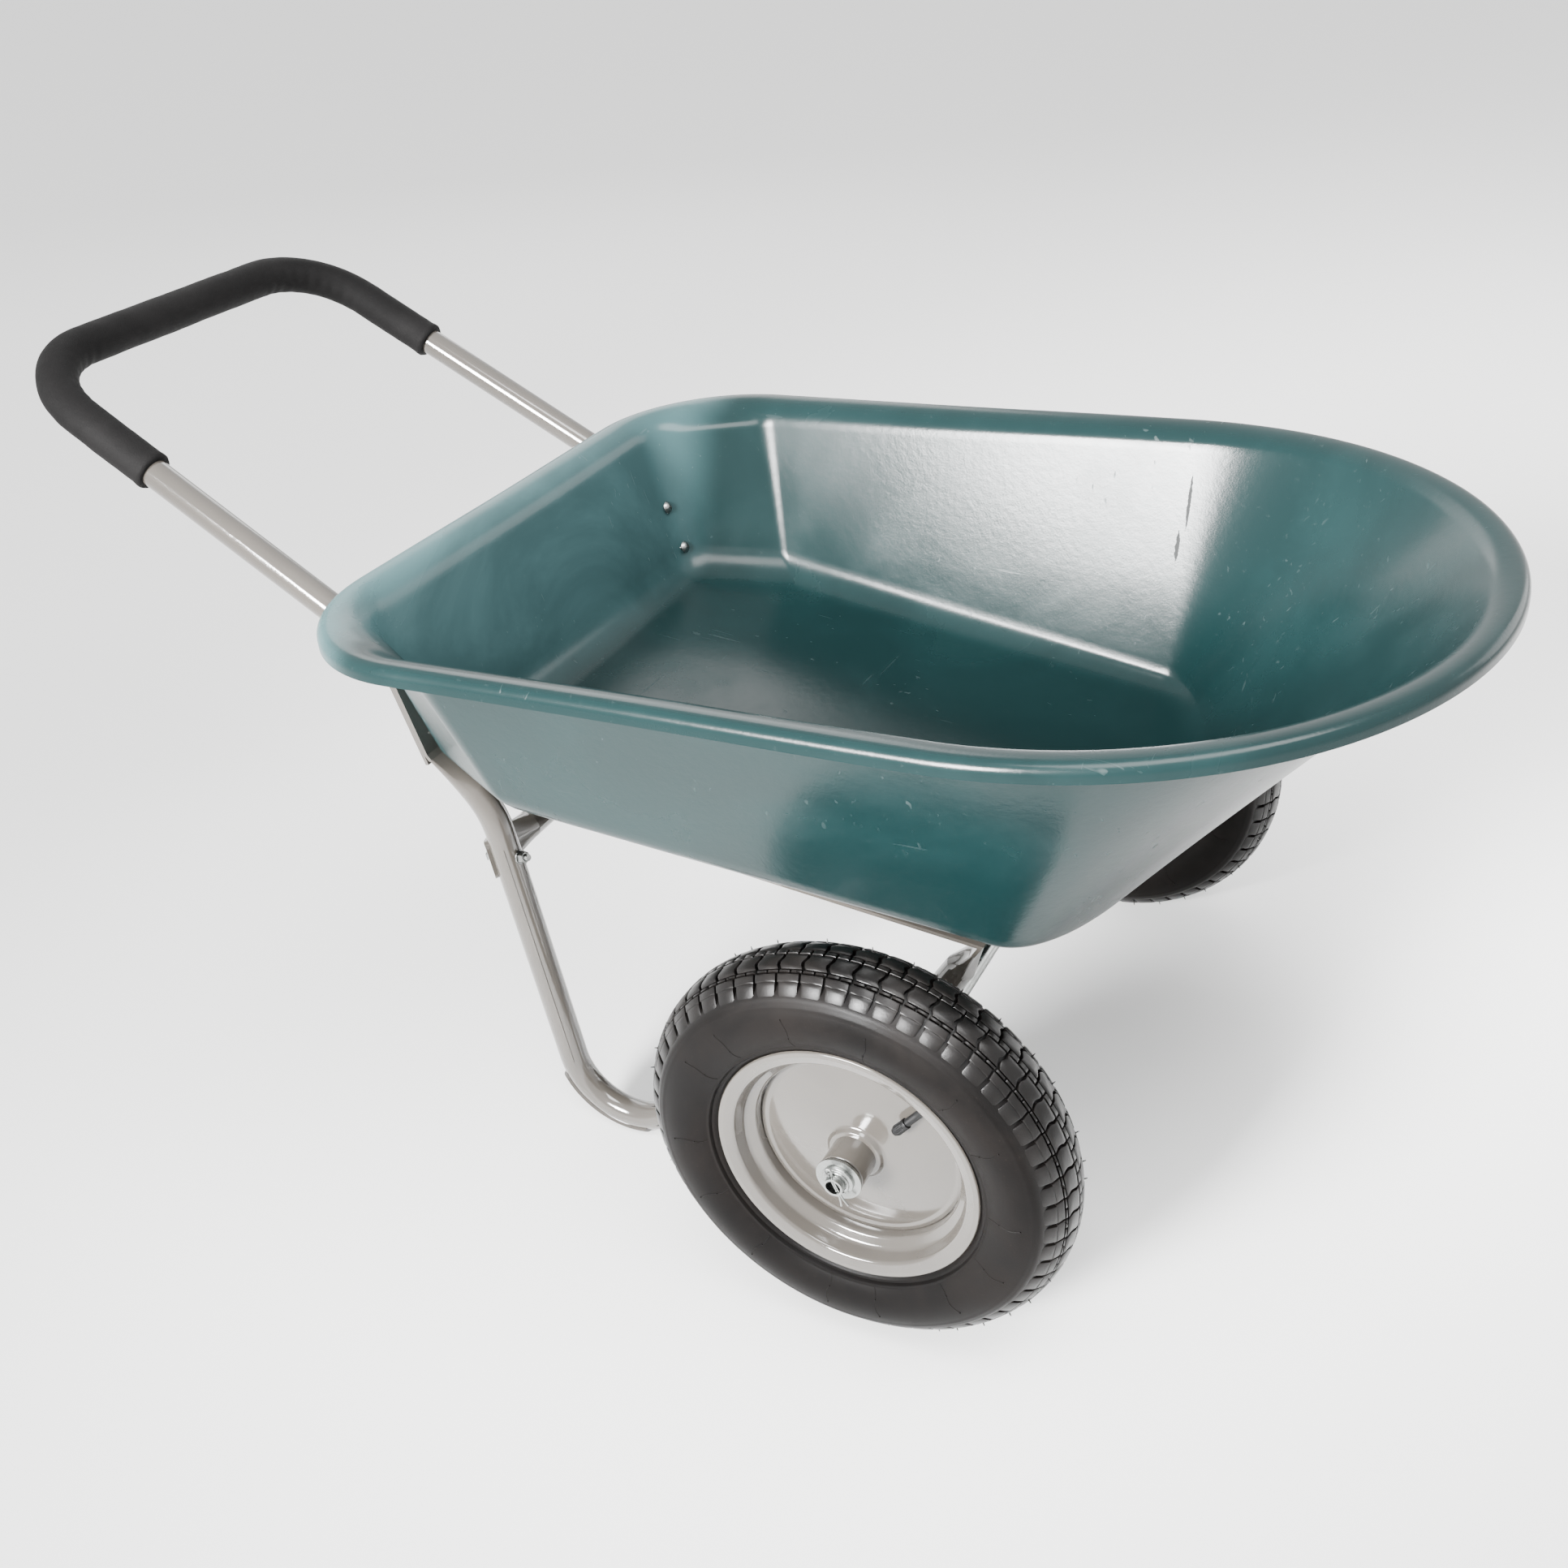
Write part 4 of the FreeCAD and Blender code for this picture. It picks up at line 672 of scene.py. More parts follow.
def grey_paint(finishes):
    """Glossy warm grey paint with slight peel, a little dust and a few rubbed marks."""
    material, sheet, shader = new_material("Warm grey paint")
    place = sheet.place()
    scuffs = sheet.group(Effects.group("scuffs"), Vector=place, Scale=14.0)
    scratches = sheet.group(Effects.group("scratches"), Vector=place, Scale=2.2, Amount=0.6)
    base = sheet.mix(scuffs.outputs["Cloud"], rgba(finishes.paint), rgba(finishes.paint, 0.90))
    marks = sheet.maths("MULTIPLY", scratches.outputs["Mask"], 0.35)
    base = sheet.mix(marks, base, rgba(finishes.paint, 0.55))
    sheet.set(shader.inputs["Base Color"], base)
    rough = sheet.maths("MULTIPLY_ADD", scuffs.outputs["Cloud"], 0.06, 0.11)
    rough = sheet.maths("MULTIPLY_ADD", scuffs.outputs["Speck"], 0.15, rough)
    sheet.set(shader.inputs["Roughness"], rough)
    shader.inputs["Specular IOR Level"].default_value = 0.6
    shader.inputs["Coat Weight"].default_value = 0.7
    shader.inputs["Coat Roughness"].default_value = 0.05
    peel = sheet.group(Effects.group("skin"), Vector=place, Scale=220.0)
    sheet.set(shader.inputs["Normal"], sheet.bump(peel.outputs["Height"], 0.12, 0.0008))
    return material


def grip_foam(finishes):
    """Closed-cell black foam: fine pores, and paler where it is rubbed."""
    material, sheet, shader = new_material("Black grip foam")
    place = sheet.place()
    scuffs = sheet.group(Effects.group("scuffs"), Vector=place, Scale=11.0)
    cells = sheet.node("ShaderNodeTexVoronoi", Vector=place, Scale=1100.0, Randomness=1.0)
    grain = sheet.noise(place, 420.0, 4.0, 0.7)
    base = sheet.mix(scuffs.outputs["Cloud"], rgba(finishes.foam), rgba(finishes.foam, 1.8))
    base = sheet.mix(sheet.maths("MULTIPLY", scuffs.outputs["Speck"], 0.20), base, (0.03, 0.027, 0.025, 1))
    sheet.set(shader.inputs["Base Color"], base)
    sheet.set(shader.inputs["Roughness"], sheet.maths("MULTIPLY_ADD", grain, 0.18, 0.62))
    shader.inputs["Specular IOR Level"].default_value = 0.10
    height = sheet.maths("ADD", sheet.maths("MULTIPLY", cells, 0.5), grain)
    sheet.set(shader.inputs["Normal"], sheet.bump(height, 0.5, 0.0006))
    return material


def wheel_radius(sheet, place):
    """Distance from the wheels' axis."""
    axis = JOINT_PLACES["wheel_left"]
    away = sheet.node("ShaderNodeSeparateXYZ", output=0, Vector=place).node
    along = sheet.maths("SUBTRACT", away.outputs["X"], axis.x)
    up = sheet.maths("SUBTRACT", away.outputs["Z"], axis.z)
    squares = sheet.maths("ADD", sheet.maths("POWER", along, 2.0), sheet.maths("POWER", up, 2.0))
    return sheet.maths("SQRT", squares)


def tyre_rubber(finishes):
    """Black rubber, satin on the shoulders and dustier on the walls."""
    material, sheet, shader = new_material("Tyre rubber")
    place = sheet.place()
    scuffs = sheet.group(Effects.group("scuffs"), Vector=place, Scale=12.0)
    grain = sheet.noise(place, 900.0, 3.0, 0.65)
    dusty = sheet.maths("MULTIPLY", scuffs.outputs["Cloud"], 0.16)
    base = sheet.mix(dusty, rgba(finishes.tyre), rgba(finishes.dust))
    base = sheet.mix(sheet.maths("MULTIPLY", scuffs.outputs["Speck"], 0.3), base, rgba(finishes.dust, 1.5))
    sheet.set(shader.inputs["Base Color"], base)
    shine = sheet.ramp(wheel_radius(sheet, place), 0.158, 0.168)
    rough = sheet.maths("MULTIPLY_ADD", scuffs.outputs["Cloud"], 0.14, 0.36)
    rough = sheet.maths("MULTIPLY_ADD", shine, -0.12, rough)
    sheet.set(shader.inputs["Roughness"], sheet.maths("MULTIPLY_ADD", grain, 0.12, rough))
    sheet.set(shader.inputs["Specular IOR Level"], sheet.maths("MULTIPLY_ADD", shine, 0.18, 0.06))
    sheet.set(shader.inputs["Normal"], sheet.bump(grain, 0.16, 0.0006))
    return material


def zinc_plate(finishes):
    """Bright zinc plate with faint cloudy tarnish and turning marks."""
    material, sheet, shader = new_material("Bright zinc plate")
    place = sheet.place()
    scuffs = sheet.group(Effects.group("scuffs"), Vector=place, Scale=60.0)
    marks = sheet.noise(sheet.scaled(place, (30, 2200, 30)), 1.0, 2.0)
    base = sheet.mix(scuffs.outputs["Cloud"], rgba(finishes.zinc), rgba(finishes.zinc, 0.78))
    sheet.set(shader.inputs["Base Color"], base)
    shader.inputs["Metallic"].default_value = 1.0
    sheet.set(shader.inputs["Roughness"], sheet.maths("MULTIPLY_ADD", scuffs.outputs["Cloud"], 0.16, 0.20))
    sheet.set(shader.inputs["Normal"], sheet.bump(marks, 0.08, 0.0003))
    return material


def black_moulding(finishes):
    """Satin black plastic with a fine spark-eroded grain."""
    material, sheet, shader = new_material("Black moulding")
    place = sheet.place()
    scuffs = sheet.group(Effects.group("scuffs"), Vector=place, Scale=40.0)
    grain = sheet.noise(place, 1500.0, 2.0)
    base = sheet.mix(scuffs.outputs["Cloud"], rgba(finishes.moulding), rgba(finishes.moulding, 2.2))
    sheet.set(shader.inputs["Base Color"], base)
    sheet.set(shader.inputs["Roughness"], sheet.maths("MULTIPLY_ADD", grain, 0.2, 0.34))
    shader.inputs["Specular IOR Level"].default_value = 0.2
    sheet.set(shader.inputs["Normal"], sheet.bump(grain, 0.15, 0.0004))
    return material


def dress(node, material_name):
    """Gives a frame node one of the barrow's materials."""
    thing = frame["nodes"][node]
    for slot in thing.material_slots:
        slot.material = Effects.material(material_name)
    if not thing.material_slots:
        raise RuntimeError(f"{node} has no material slot")


# ---------------------------------------------------------------- tray

def tray_section(sizes, lean, skin, fillet_steps=8, shoulder_steps=8, roll_steps=7):
    """(which outline, outwards, up, roundness) steps from the floor over the wall and the brim."""
    reach = sizes.floor_fillet * math.tan((math.pi / 2 - lean) / 2)
    steps = []
    for part in range(fillet_steps + 1):
        turn = part / fillet_steps * (math.pi / 2 - lean)
        radius = sizes.floor_fillet + skin
        steps.append(("floor", -reach + radius * math.sin(turn),
                      sizes.floor_fillet - radius * math.cos(turn), 0))
    steps.append(("wall", None, None, 0))
    for part in range(shoulder_steps + 1):
        turn = part / shoulder_steps * (math.pi / 2 - lean)
        radius = sizes.brim_shoulder - skin
        steps.append(("wall", sizes.brim_reach - radius * math.cos(lean + turn),
                      sizes.brim_edge - sizes.brim_shoulder + radius * math.sin(lean + turn),
                      part / shoulder_steps))
    for part in range(1, roll_steps + 1):
        turn = part / roll_steps * math.pi / 2
        radius = sizes.brim_edge - skin
        steps.append(("wall", sizes.brim_reach + radius * math.sin(turn), radius * math.cos(turn), 1))
    steps.append(("wall", sizes.brim_reach + sizes.brim_edge - skin, -sizes.brim_skirt, 1))
    return steps


def tray_corner(sizes, name, out, share):
    """The bevel of one level's back corners, which the brim's shoulder turns into a round one."""
    parts = [getattr(sizes, f"{name}_{part}")
             for part in ("leg_along", "leg_across", "back_bend", "side_bend")]
    bevelled = parts[:2] + [max(part + out, 0.008) for part in parts[2:]]
    radius = sizes.brim_corner + out - sizes.brim_reach
    leg = radius * (2 - math.sqrt(2))
    rounded_off = [leg, leg, radius * 0.97, radius * 0.97]
    return [low + share * (high - low) for low, high in zip(bevelled, rounded_off)]


def tray_outline(sizes, name, offsets, across=96):
    """Points of one closed outline of the tray, from the back round the left side."""
    def size(part):
        return getattr(sizes, f"{name}_{part}")

    at_back, at_flank, at_nose = offsets
    climb = (size("nose_height") - size("back_height")) / (size("nose") - size("back"))
    back = size("back") - at_back[0]
    back_half = size("back_half") + at_flank[0]
    along, wide, back_bend, side_bend = tray_corner(sizes, name, at_flank[0], at_flank[2])
    side_end = size("side_end")
    front_half = size("front_half") + at_flank[0]
    nose = size("nose") + at_nose[0]
    back_height = size("back_height") - climb * at_back[0] + at_back[1]
    nose_height = size("nose_height") + climb * at_nose[0] + at_nose[1]

    def lifted(x, y):
        share = (x - back) / (nose - back)
        return Vector((x, y, back_height + share * (nose_height - back_height)))

    def arc(start, apex, stop, turn, steps):
        """Points of a round corner whose sides turn by an angle at the apex."""
        weight = math.cos(turn / 2)
        for part in range(steps):
            share = part / steps
            mixes = ((1 - share) ** 2, 2 * weight * share * (1 - share), share ** 2)
            yield (start * mixes[0] + apex * mixes[1] + stop * mixes[2]) / sum(mixes)

    def line(start, stop, steps):
        for part in range(steps):
            yield start.lerp(stop, part / steps)

    slant = math.atan2(along, wide)
    back_reach = back_bend * math.tan(slant / 2)
    side_reach = side_bend * math.tan((math.pi / 2 - slant) / 2)
    heel_y = back_half - wide
    leave = lifted(back, heel_y - back_reach)
    heel_end = lifted(back + back_reach * math.sin(slant), heel_y + back_reach * math.cos(slant))
    hip_start = lifted(back + along - side_reach * math.sin(slant),
                       back_half - side_reach * math.cos(slant))
    turned = lifted(back + along + side_reach, back_half)
    shoulder = lifted(side_end, front_half)
    half = list(line(lifted(back, 0), leave, across // 8))
    half += arc(leave, lifted(back, heel_y), heel_end, slant, across // 8)
    half += line(heel_end, hip_start, across // 12)
    half += arc(hip_start, lifted(back + along, back_half), turned, math.pi / 2 - slant, across // 8)
    half += line(turned, shoulder, across // 4)
    half += arc(shoulder, lifted(nose, front_half), lifted(nose, 0), math.pi / 2, across // 2)
    half.append(lifted(nose, 0))
    mirrored = [Vector((spot.x, -spot.y, spot.z)) for spot in half[1:-1]]
    return half + mirrored[::-1]


def tray_levels(sizes, skin, wall_steps=26):
    rise_back = sizes.wall_back_height - sizes.floor_back_height
    rise_nose = sizes.wall_nose_height - sizes.floor_nose_height
    flank_run = (sizes.wall_back_half + sizes.wall_front_half - sizes.floor_back_half
                 - sizes.floor_front_half) / 2
    leans = (math.atan2(sizes.floor_back - sizes.wall_back, rise_back),
             math.atan2(flank_run, (rise_back + rise_nose) / 2),
             math.atan2(sizes.wall_nose - sizes.floor_nose, rise_nose))
    sections = [tray_section(sizes, lean, skin) for lean in leans]
    levels = []
    gap = None
    for steps in zip(*sections):
        if steps[0][1] is None:
            gap = len(levels)
            continue
        levels.append(tray_outline(sizes, steps[0][0], [step[1:] for step in steps]))
    foot = levels[gap - 1]
    head = levels[gap]
    wall = []
    for part in range(1, wall_steps):
        share = part / wall_steps
        wall.append([low.lerp(high, share) for low, high in zip(foot, head)])
    return levels[:gap] + wall + levels[gap:]


def floor_rings(outline, steps=14):
    """Rings that shrink from the floor's edge to its middle."""
    middle = Vector((0, 0, 0))
    for spot in outline:
        middle += spot / len(outline)
    rings = []
    for part in range(1, steps):
        share = 1 - (part / steps) ** 1.2
        rings.append([middle.lerp(spot, share) for spot in outline])
    return rings, middle


def wavy(spot, sizes):
    """Moves a point a little, as a moulded sheet is never quite true."""
    starts = (Vector((3.1, 7.7, 1.9)), Vector((8.3, 2.4, 5.6)), Vector((6.2, 9.5, 4.1)))
    drift = Vector([noise.noise(spot * 5.0 + start) for start in starts])
    return spot + drift * sizes.waviness


class WHEELBARROW_OT_tray(bpy.types.Operator):
    """Build the moulded tray"""
    bl_idname = "wheelbarrow.tray"
    bl_label = "Tray"

    def execute(self, context):
        sizes = context.scene.barrow_tray
        inner = tray_levels(sizes, 0)
        outer = tray_levels(sizes, sizes.gauge)
        rings = inner + outer[::-1]
        around = len(inner[0])
        points = []
        inner_floor, inner_middle = floor_rings(inner[0])
        outer_floor, outer_middle = floor_rings(outer[0])
        stack = inner_floor[::-1] + rings + outer_floor
        for ring in stack:
            points += [wavy(spot, sizes) for spot in ring]
        faces = faces_between(len(stack), around)
        for middle, level in ((inner_middle, 0), (outer_middle, len(stack) - 1)):
            centre = len(points)
            points.append(wavy(middle, sizes))
            for index in range(around):
                after = (index + 1) % around
                faces.append((level * around + index, level * around + after, centre))
        tray = new_piece("moulded_tray", points, faces, 50)
        finished(tray, "frame", Effects.material("tray"), ["tray"])
        return {"FINISHED"}


# ---------------------------------------------------------------- handle grip

def grip_route(sizes):
    """Points along the foam's centre line, from one front end round to the other."""
    fall = math.tan(sizes.slope)

    def spot(x, side):
        half = sizes.half + sizes.splay * (x - sizes.back)
        return Vector((x, side * half, sizes.top - fall * (x - sizes.back)))

    route = []
    corners = [spot(sizes.front, -1), spot(sizes.back, -1), spot(sizes.back, 1), spot(sizes.front, 1)]
    here = corners[0]
    for before, corner, after in zip(corners, corners[1:], corners[2:]):
        inward = (before - corner).normalized()
        outward = (after - corner).normalized()
        half = inward.angle(outward) / 2
        reach = sizes.bend / math.tan(half)
        centre = corner + (inward + outward).normalized() * (sizes.bend / math.sin(half))
        start = corner + inward * reach
        stop = corner + outward * reach
        straight = max(int((start - here).length / sizes.spacing), 1)
        route += [here.lerp(start, part / straight) for part in range(straight)]
        arm = start - centre
        other = stop - centre
        axis = arm.cross(other).normalized()
        turn = arm.angle(other)
        steps = max(int(turn * sizes.bend / sizes.spacing), 1)
        for part in range(steps):
            route.append(centre + Matrix.Rotation(turn * part / steps, 3, axis) @ arm)
        here = stop
    straight = max(int((corners[3] - here).length / sizes.spacing), 1)
    route += [here.lerp(corners[3], part / straight) for part in range(straight + 1)]
    return route


class WHEELBARROW_OT_grip(bpy.types.Operator):
    """Build the foam sleeve of the handle"""
    bl_idname = "wheelbarrow.grip"
    bl_label = "Foam grip"

    ring: bpy.props.IntProperty(name="Ring", description="Points round the sleeve", default=48, min=12)

    def execute(self, context):
        sizes = context.scene.barrow_grip
        route = grip_route(sizes)
        total = len(route)
        points = []
        ring = self.ring
        rim_steps = 5
        wall = sizes.radius - sizes.bore
        profile = [(0, sizes.bore + wall * 0.72 * (part / rim_steps)) for part in range(rim_steps)]
        for index in range(total):
            edge = min(index, total - 1 - index) * sizes.spacing
            lip = 0.0006 * math.exp(-((edge - 0.004) / 0.003) ** 2)
            soft = min(edge / 0.0022, 1.0)
            corner = 0.0014 * (1 - math.sqrt(max(1 - (1 - soft) ** 2, 0)))
            profile.append((index, sizes.radius - 0.0006 + lip - corner))
        profile += [(total - 1, sizes.bore + wall * 0.72 * (part / rim_steps))
                    for part in reversed(range(rim_steps))]
        profile += [(index, sizes.bore - 0.0002) for index in reversed(range(total))]
        for index, radius in profile:
            before = route[max(index - 1, 0)]
            after = route[min(index + 1, total - 1)]
            heading = (after - before).normalized()
            up = Vector((math.sin(sizes.slope), 0, math.cos(sizes.slope)))
            side = heading.cross(up).normalized()
            bend = (route[max(index - 3, 0)] + route[min(index + 3, total - 1)]) / 2 - route[index]
            inner = bend.normalized() if bend.length > 2e-5 else Vector()
            for step in range(ring):
                angle = 2 * math.pi * step / ring
                outward = side * math.cos(angle) + up * math.sin(angle)
                spot = route[index] + outward * radius
                if radius > sizes.bore + wall * 0.8:
                    lumps = 0.00035 * noise.noise(spot * 38.0) + 0.0002 * noise.noise(spot * 110.0)
                    spot += outward * lumps
                    squeeze = max(outward.dot(inner), 0) ** 2
                    crease = math.sin(index * sizes.spacing / 0.0046 * 2)
                    spot += outward * (squeeze * sizes.wrinkle * crease)
                points.append(spot)
        grip = new_piece("foam_grip", points, faces_between(len(profile), ring, True), 60)
        finished(grip, "frame", Effects.material("foam"), ["handle_grip"])
        return {"FINISHED"}


# ---------------------------------------------------------------- painted tubes

def seam_path(sizes, side):
    """The lengthwise weld bead on the outer front of a leg."""
    lean = sizes.leg_angle
    up = Vector((-math.sin(lean), 0, math.cos(lean)))
    forward = Vector((math.cos(lean), 0, math.sin(lean)))
    foot = Vector((sizes.foot_ahead, side * sizes.leg_out, sizes.foot_height)) - forward * sizes.foot_bend
    outward = (forward * 0.55 + Vector((0, side * 0.84, 0))).normalized()
    tall = (sizes.seam_top - foot.z) / up.z
    steps = 60
    skin = outward * (sizes.tube - sizes.seam * 0.45)
    path = [foot + up * (tall * part / steps) + skin for part in range(steps + 1)]
    swell = [sizes.seam * (1 + 0.12 * noise.noise(spot * 160.0)) for spot in path]
    return path, swell


class WHEELBARROW_OT_tubes(bpy.types.Operator):
    """Paint the handle, the side frames, the brace and what is welded to them"""
    bl_idname = "wheelbarrow.tubes"
    bl_label = "Painted tubes"

    def execute(self, context):
        names = ["handle_tube", "rear_brace"]
        for side in SIDES:
            names += [f"frame_tube_{side}", f"foot_plate_{side}", f"axle_boss_{side}"]
        for name in names:
            dress(name, "paint")
        sizes = context.scene.barrow_fittings
        for name, side in SIDES.items():
            seam = rod("weld_seam_" + name, *seam_path(sizes, side), 8)
            finished(seam, "frame", Effects.material("paint"))
        return {"FINISHED"}


# ---------------------------------------------------------------- tyres

def section_point(sizes, angle, height):
    """(outward, radius) of a place on the tyre's section, at an angle up from its side."""
    return (height * math.cos(angle), sizes.middle + height * math.sin(angle))


def carcass_height(sizes, angle):
    """Radius of the tyre's section under the tread, with the bead line near the rim."""
    degrees = math.degrees(angle)
    folded = degrees if degrees <= 90 else 180 - degrees
    rise = min(max((folded - 30) / 22, 0), 1)
    rise = rise * rise * (3 - 2 * rise)
    height = sizes.section - 0.0003 - rise * sizes.groove
    height -= 0.0007 * math.exp(-((folded + 37.5) / 1.2) ** 2)
    height += 0.0009 * math.exp(-((folded + 33.5) / 1.6) ** 2)
    height += 0.0004 * math.exp(-((folded - 24.0) / 1.5) ** 2)
    return height


def carcass_outline(sizes):
    """The closed section of the tyre's body."""
    outline = []
    degrees = -43.5
    while degrees <= 223.6:
        angle = math.radians(degrees)
        outline.append(section_point(sizes, angle, carcass_height(sizes, angle)))
        near_bead = degrees < -28 or degrees > 208
        degrees += 0.9 if near_bead else 2.0
    foot = sizes.flange - 0.008
    outline.append((-0.0280, sizes.flange - 0.001))
    outline.append((-0.0265, foot))
    outline.append((-0.0170, foot))
    degrees = 216
    while degrees >= -36:
        angle = math.radians(degrees)
        outline.append(section_point(sizes, angle, sizes.lining))
        degrees -= 12
    outline.append((0.0170, foot))
    outline.append((0.0265, foot))
    outline.append((0.0280, sizes.flange - 0.001))
    return outline


def tread_block(sizes, centre, side, span, turns, top, wave=0.0, tick=0.0, rows=5):
    """Points and faces of one rubber block.

    span is its (lower, upper) angle on the section and turns its (first, last) angle round the
    wheel, all in degrees; top gives the block's height over the section at each end.
    """
    chamfer = 0.0006
    columns = (0.0, 0.10, 0.5, 0.90, 1.0)
    levels = [0.0, 0.07] + [0.07 + 0.86 * part / rows for part in range(1, rows)] + [0.93, 1.0]
    points = []
    for base in (False, True):
        for level in levels:
            degrees = span[0] + (span[1] - span[0]) * level
            height = top[0] + (top[1] - top[0]) * level
            shift = wave * math.sin(2 * math.pi * (level - 0.12)) + tick * level
            for column in columns:
                border = level in (0.0, 1.0) or column in (0.0, 1.0)
                drop = chamfer if border else 0.0
                if base:
                    drop = height + sizes.groove + 0.0012
                turn = math.radians(turns[0] + (turns[1] - turns[0]) * column + shift)
                out, radius = section_point(sizes, math.radians(degrees), sizes.section + height - drop)
                points.append(centre + Vector((radius * math.cos(turn), side * out, radius * math.sin(turn))))
    wide = len(columns)
    tall = len(levels)
    layer = wide * tall
    faces = []
    for level in range(tall - 1):
        for column in range(wide - 1):
            corner = level * wide + column
            quad = (corner, corner + 1, corner + wide + 1, corner + wide)
            faces.append(quad)
            faces.append(tuple(layer + index for index in quad[::-1]))
    border = [column for column in range(wide)]
    border += [level * wide + wide - 1 for level in range(1, tall)]
    border += [(tall - 1) * wide + column for column in range(wide - 2, -1, -1)]
    border += [level * wide for level in range(tall - 2, 0, -1)]
    for here, after in zip(border, border[1:] + border[:1]):
        faces.append((here, layer + here, layer + after, after))
    return points, faces


def tread_pitch(sizes, centre, side):
    """All the blocks of one repeat of the tread."""
    pitch = 360 / sizes.pitches
    blocks = []
    for face, start in ((1, 0.0), (-1, 0.5)):
        def fold(low, high, face=face):
            return (low, high) if face == 1 else (180 - low, 180 - high)

        begin = pitch * start
        blocks.append((fold(31, 51), (begin + 0.06 * pitch, begin + 0.88 * pitch), (-0.0012, 0.0), 0, 0.0))
        blocks.append((fold(50.4, 60), (begin + 0.05 * pitch, begin + 0.95 * pitch),
                       (0.0, 0.0), 0, 0.06 * pitch))
        for part in (0.0, 0.5):
            blocks.append((fold(61.5, 64.0), (begin + (part + 0.04) * pitch, begin + (part + 0.47) * pitch),
                           (-0.0004, -0.0004), 0, 0.0))
        blocks.append((fold(65.6, 85.4), (begin + 0.09 * pitch, begin + 0.95 * pitch),
                       (0.0, 0.0), 0.07 * pitch, 0.05 * pitch))
    for part in (0.0, 0.5):
        blocks.append(((87.0, 93.0), ((part + 0.03) * pitch, (part + 0.46) * pitch),
                       (-0.0002, -0.0002), 0, 0.0))
    points = []
    faces = []
    for span, turns, top, wave, tick in blocks:
        rows = 5 if abs(span[1] - span[0]) > 8 else 1
        new_points, new_faces = tread_block(sizes, centre, side, span, turns, top, wave, tick, rows)
        offset = len(points)
        points += new_points
        faces += [tuple(offset + index for index in face) for face in new_faces]
    return points, faces


def vent_mark(sizes, centre, side, face):
    """One thin moulding line down a sidewall, with a nub at each end."""
    path = []
    for part in range(9):
        degrees = -30 + 40 * part / 8
        folded = degrees if face > 0 else 180 - degrees
        angle = math.radians(folded)
        out, radius = section_point(sizes, angle, carcass_height(sizes, angle) - 0.00005)
        turn = math.radians(0.5 * math.sin(part * 0.9))
        path.append(centre + Vector((radius * math.cos(turn), side * out, radius * math.sin(turn))))
    line = rod("vent_line", path, [0.00036] * len(path), 6)
    pieces = [line]
    for spot in (path[3], path[-1]):
        outward = Vector((0, side * face, 0))
        nub = rod("vent_nub", [spot - outward * 0.0006, spot + outward * 0.0006, spot + outward * 0.0009],
                  [0.0008, 0.0007, 0.0003], 8)
        pieces.append(nub)
    return joined("vent_mark", pieces)


def spew_nub(sizes, centre, side, face):
    """One thin whisker of rubber left by the mould beside the tread."""
    angle = math.radians(61.0 if face > 0 else 119.0)
    path = []
    for height in (-0.0030, 0.0, 0.0016, 0.0028):
        out, radius = section_point(sizes, angle, sizes.section + height)
        path.append(centre + Vector((radius, side * out, 0.0004 * height / 0.0028)))
    return rod("spew_nub", path, [0.0007, 0.0006, 0.0005, 0.0003], 6)


class WHEELBARROW_OT_tyres(bpy.types.Operator):
    """Build both tyres with their tread and moulding marks"""
    bl_idname = "wheelbarrow.tyres"
    bl_label = "Tyres"

    segments: bpy.props.IntProperty(name="Segments", description="Steps round a tyre", default=216, min=24)

    def execute(self, context):
        sizes = context.scene.barrow_wheels
        rubber = Effects.material("tyre")
        repeat = ring_tree()
        for name, side in SIDES.items():
            centre = JOINT_PLACES[WHEELS[name]]
            body = lathe("tyre_body", carcass_outline(sizes), self.segments, centre, side)
            tread = new_piece("tyre_tread", *tread_pitch(sizes, centre, side), 30)
            made_plain(tread, repeat, {
                "Count": sizes.pitches, "Centre": centre, "Scatter": 0.0, "Seed": 0, "Material": rubber}, 30)
            marks = []
            for face in (1, -1):
                mark = vent_mark(sizes, centre, side, face)
                marks.append(made_plain(mark, repeat, {
                    "Count": sizes.vents, "Centre": centre, "Scatter": 0.22, "Seed": 5 + face,
                    "Material": rubber}))
            for face, seed in ((1, 11), (-1, 23)):
                nub = spew_nub(sizes, centre, side, face)
                marks.append(made_plain(nub, repeat, {
                    "Count": sizes.nubs, "Centre": centre, "Scatter": 0.4, "Seed": seed,
                    "Material": rubber}))
            tyre = joined("rubber_tyre_" + name, [body, tread] + marks)
            finished(tyre, WHEELS[name], rubber, ["tyre_" + name])
        return {"FINISHED"}


# ---------------------------------------------------------------- rims, discs and hubs

def rim_outline(sizes):
    """The pressed rim: rolled edge, bead seat, well, and the same again on the inner side."""
    half = [
        (0.0, 0.0885, 0), (0.0095, 0.0885, 0.004), (0.0150, 0.0990, 0.004), (0.0262, 0.1010, 0.004),
        (0.0286, 0.1085, 0.0012), (0.0281, sizes.flange, 0.0008), (0.0296, 0.1110, 0.0009),
        (0.0310, 0.1098, 0.0009), (0.0308, 0.1060, 0.003), (0.0288, 0.0978, 0.004),
        (0.0165, 0.0955, 0.006), (0.0115, 0.0868, 0.004), (0.0, 0.0868, 0)]
    inner = [(-out, radius, bend) for out, radius, bend in half[1:-1]]
    return rounded(half + inner[::-1], 6)


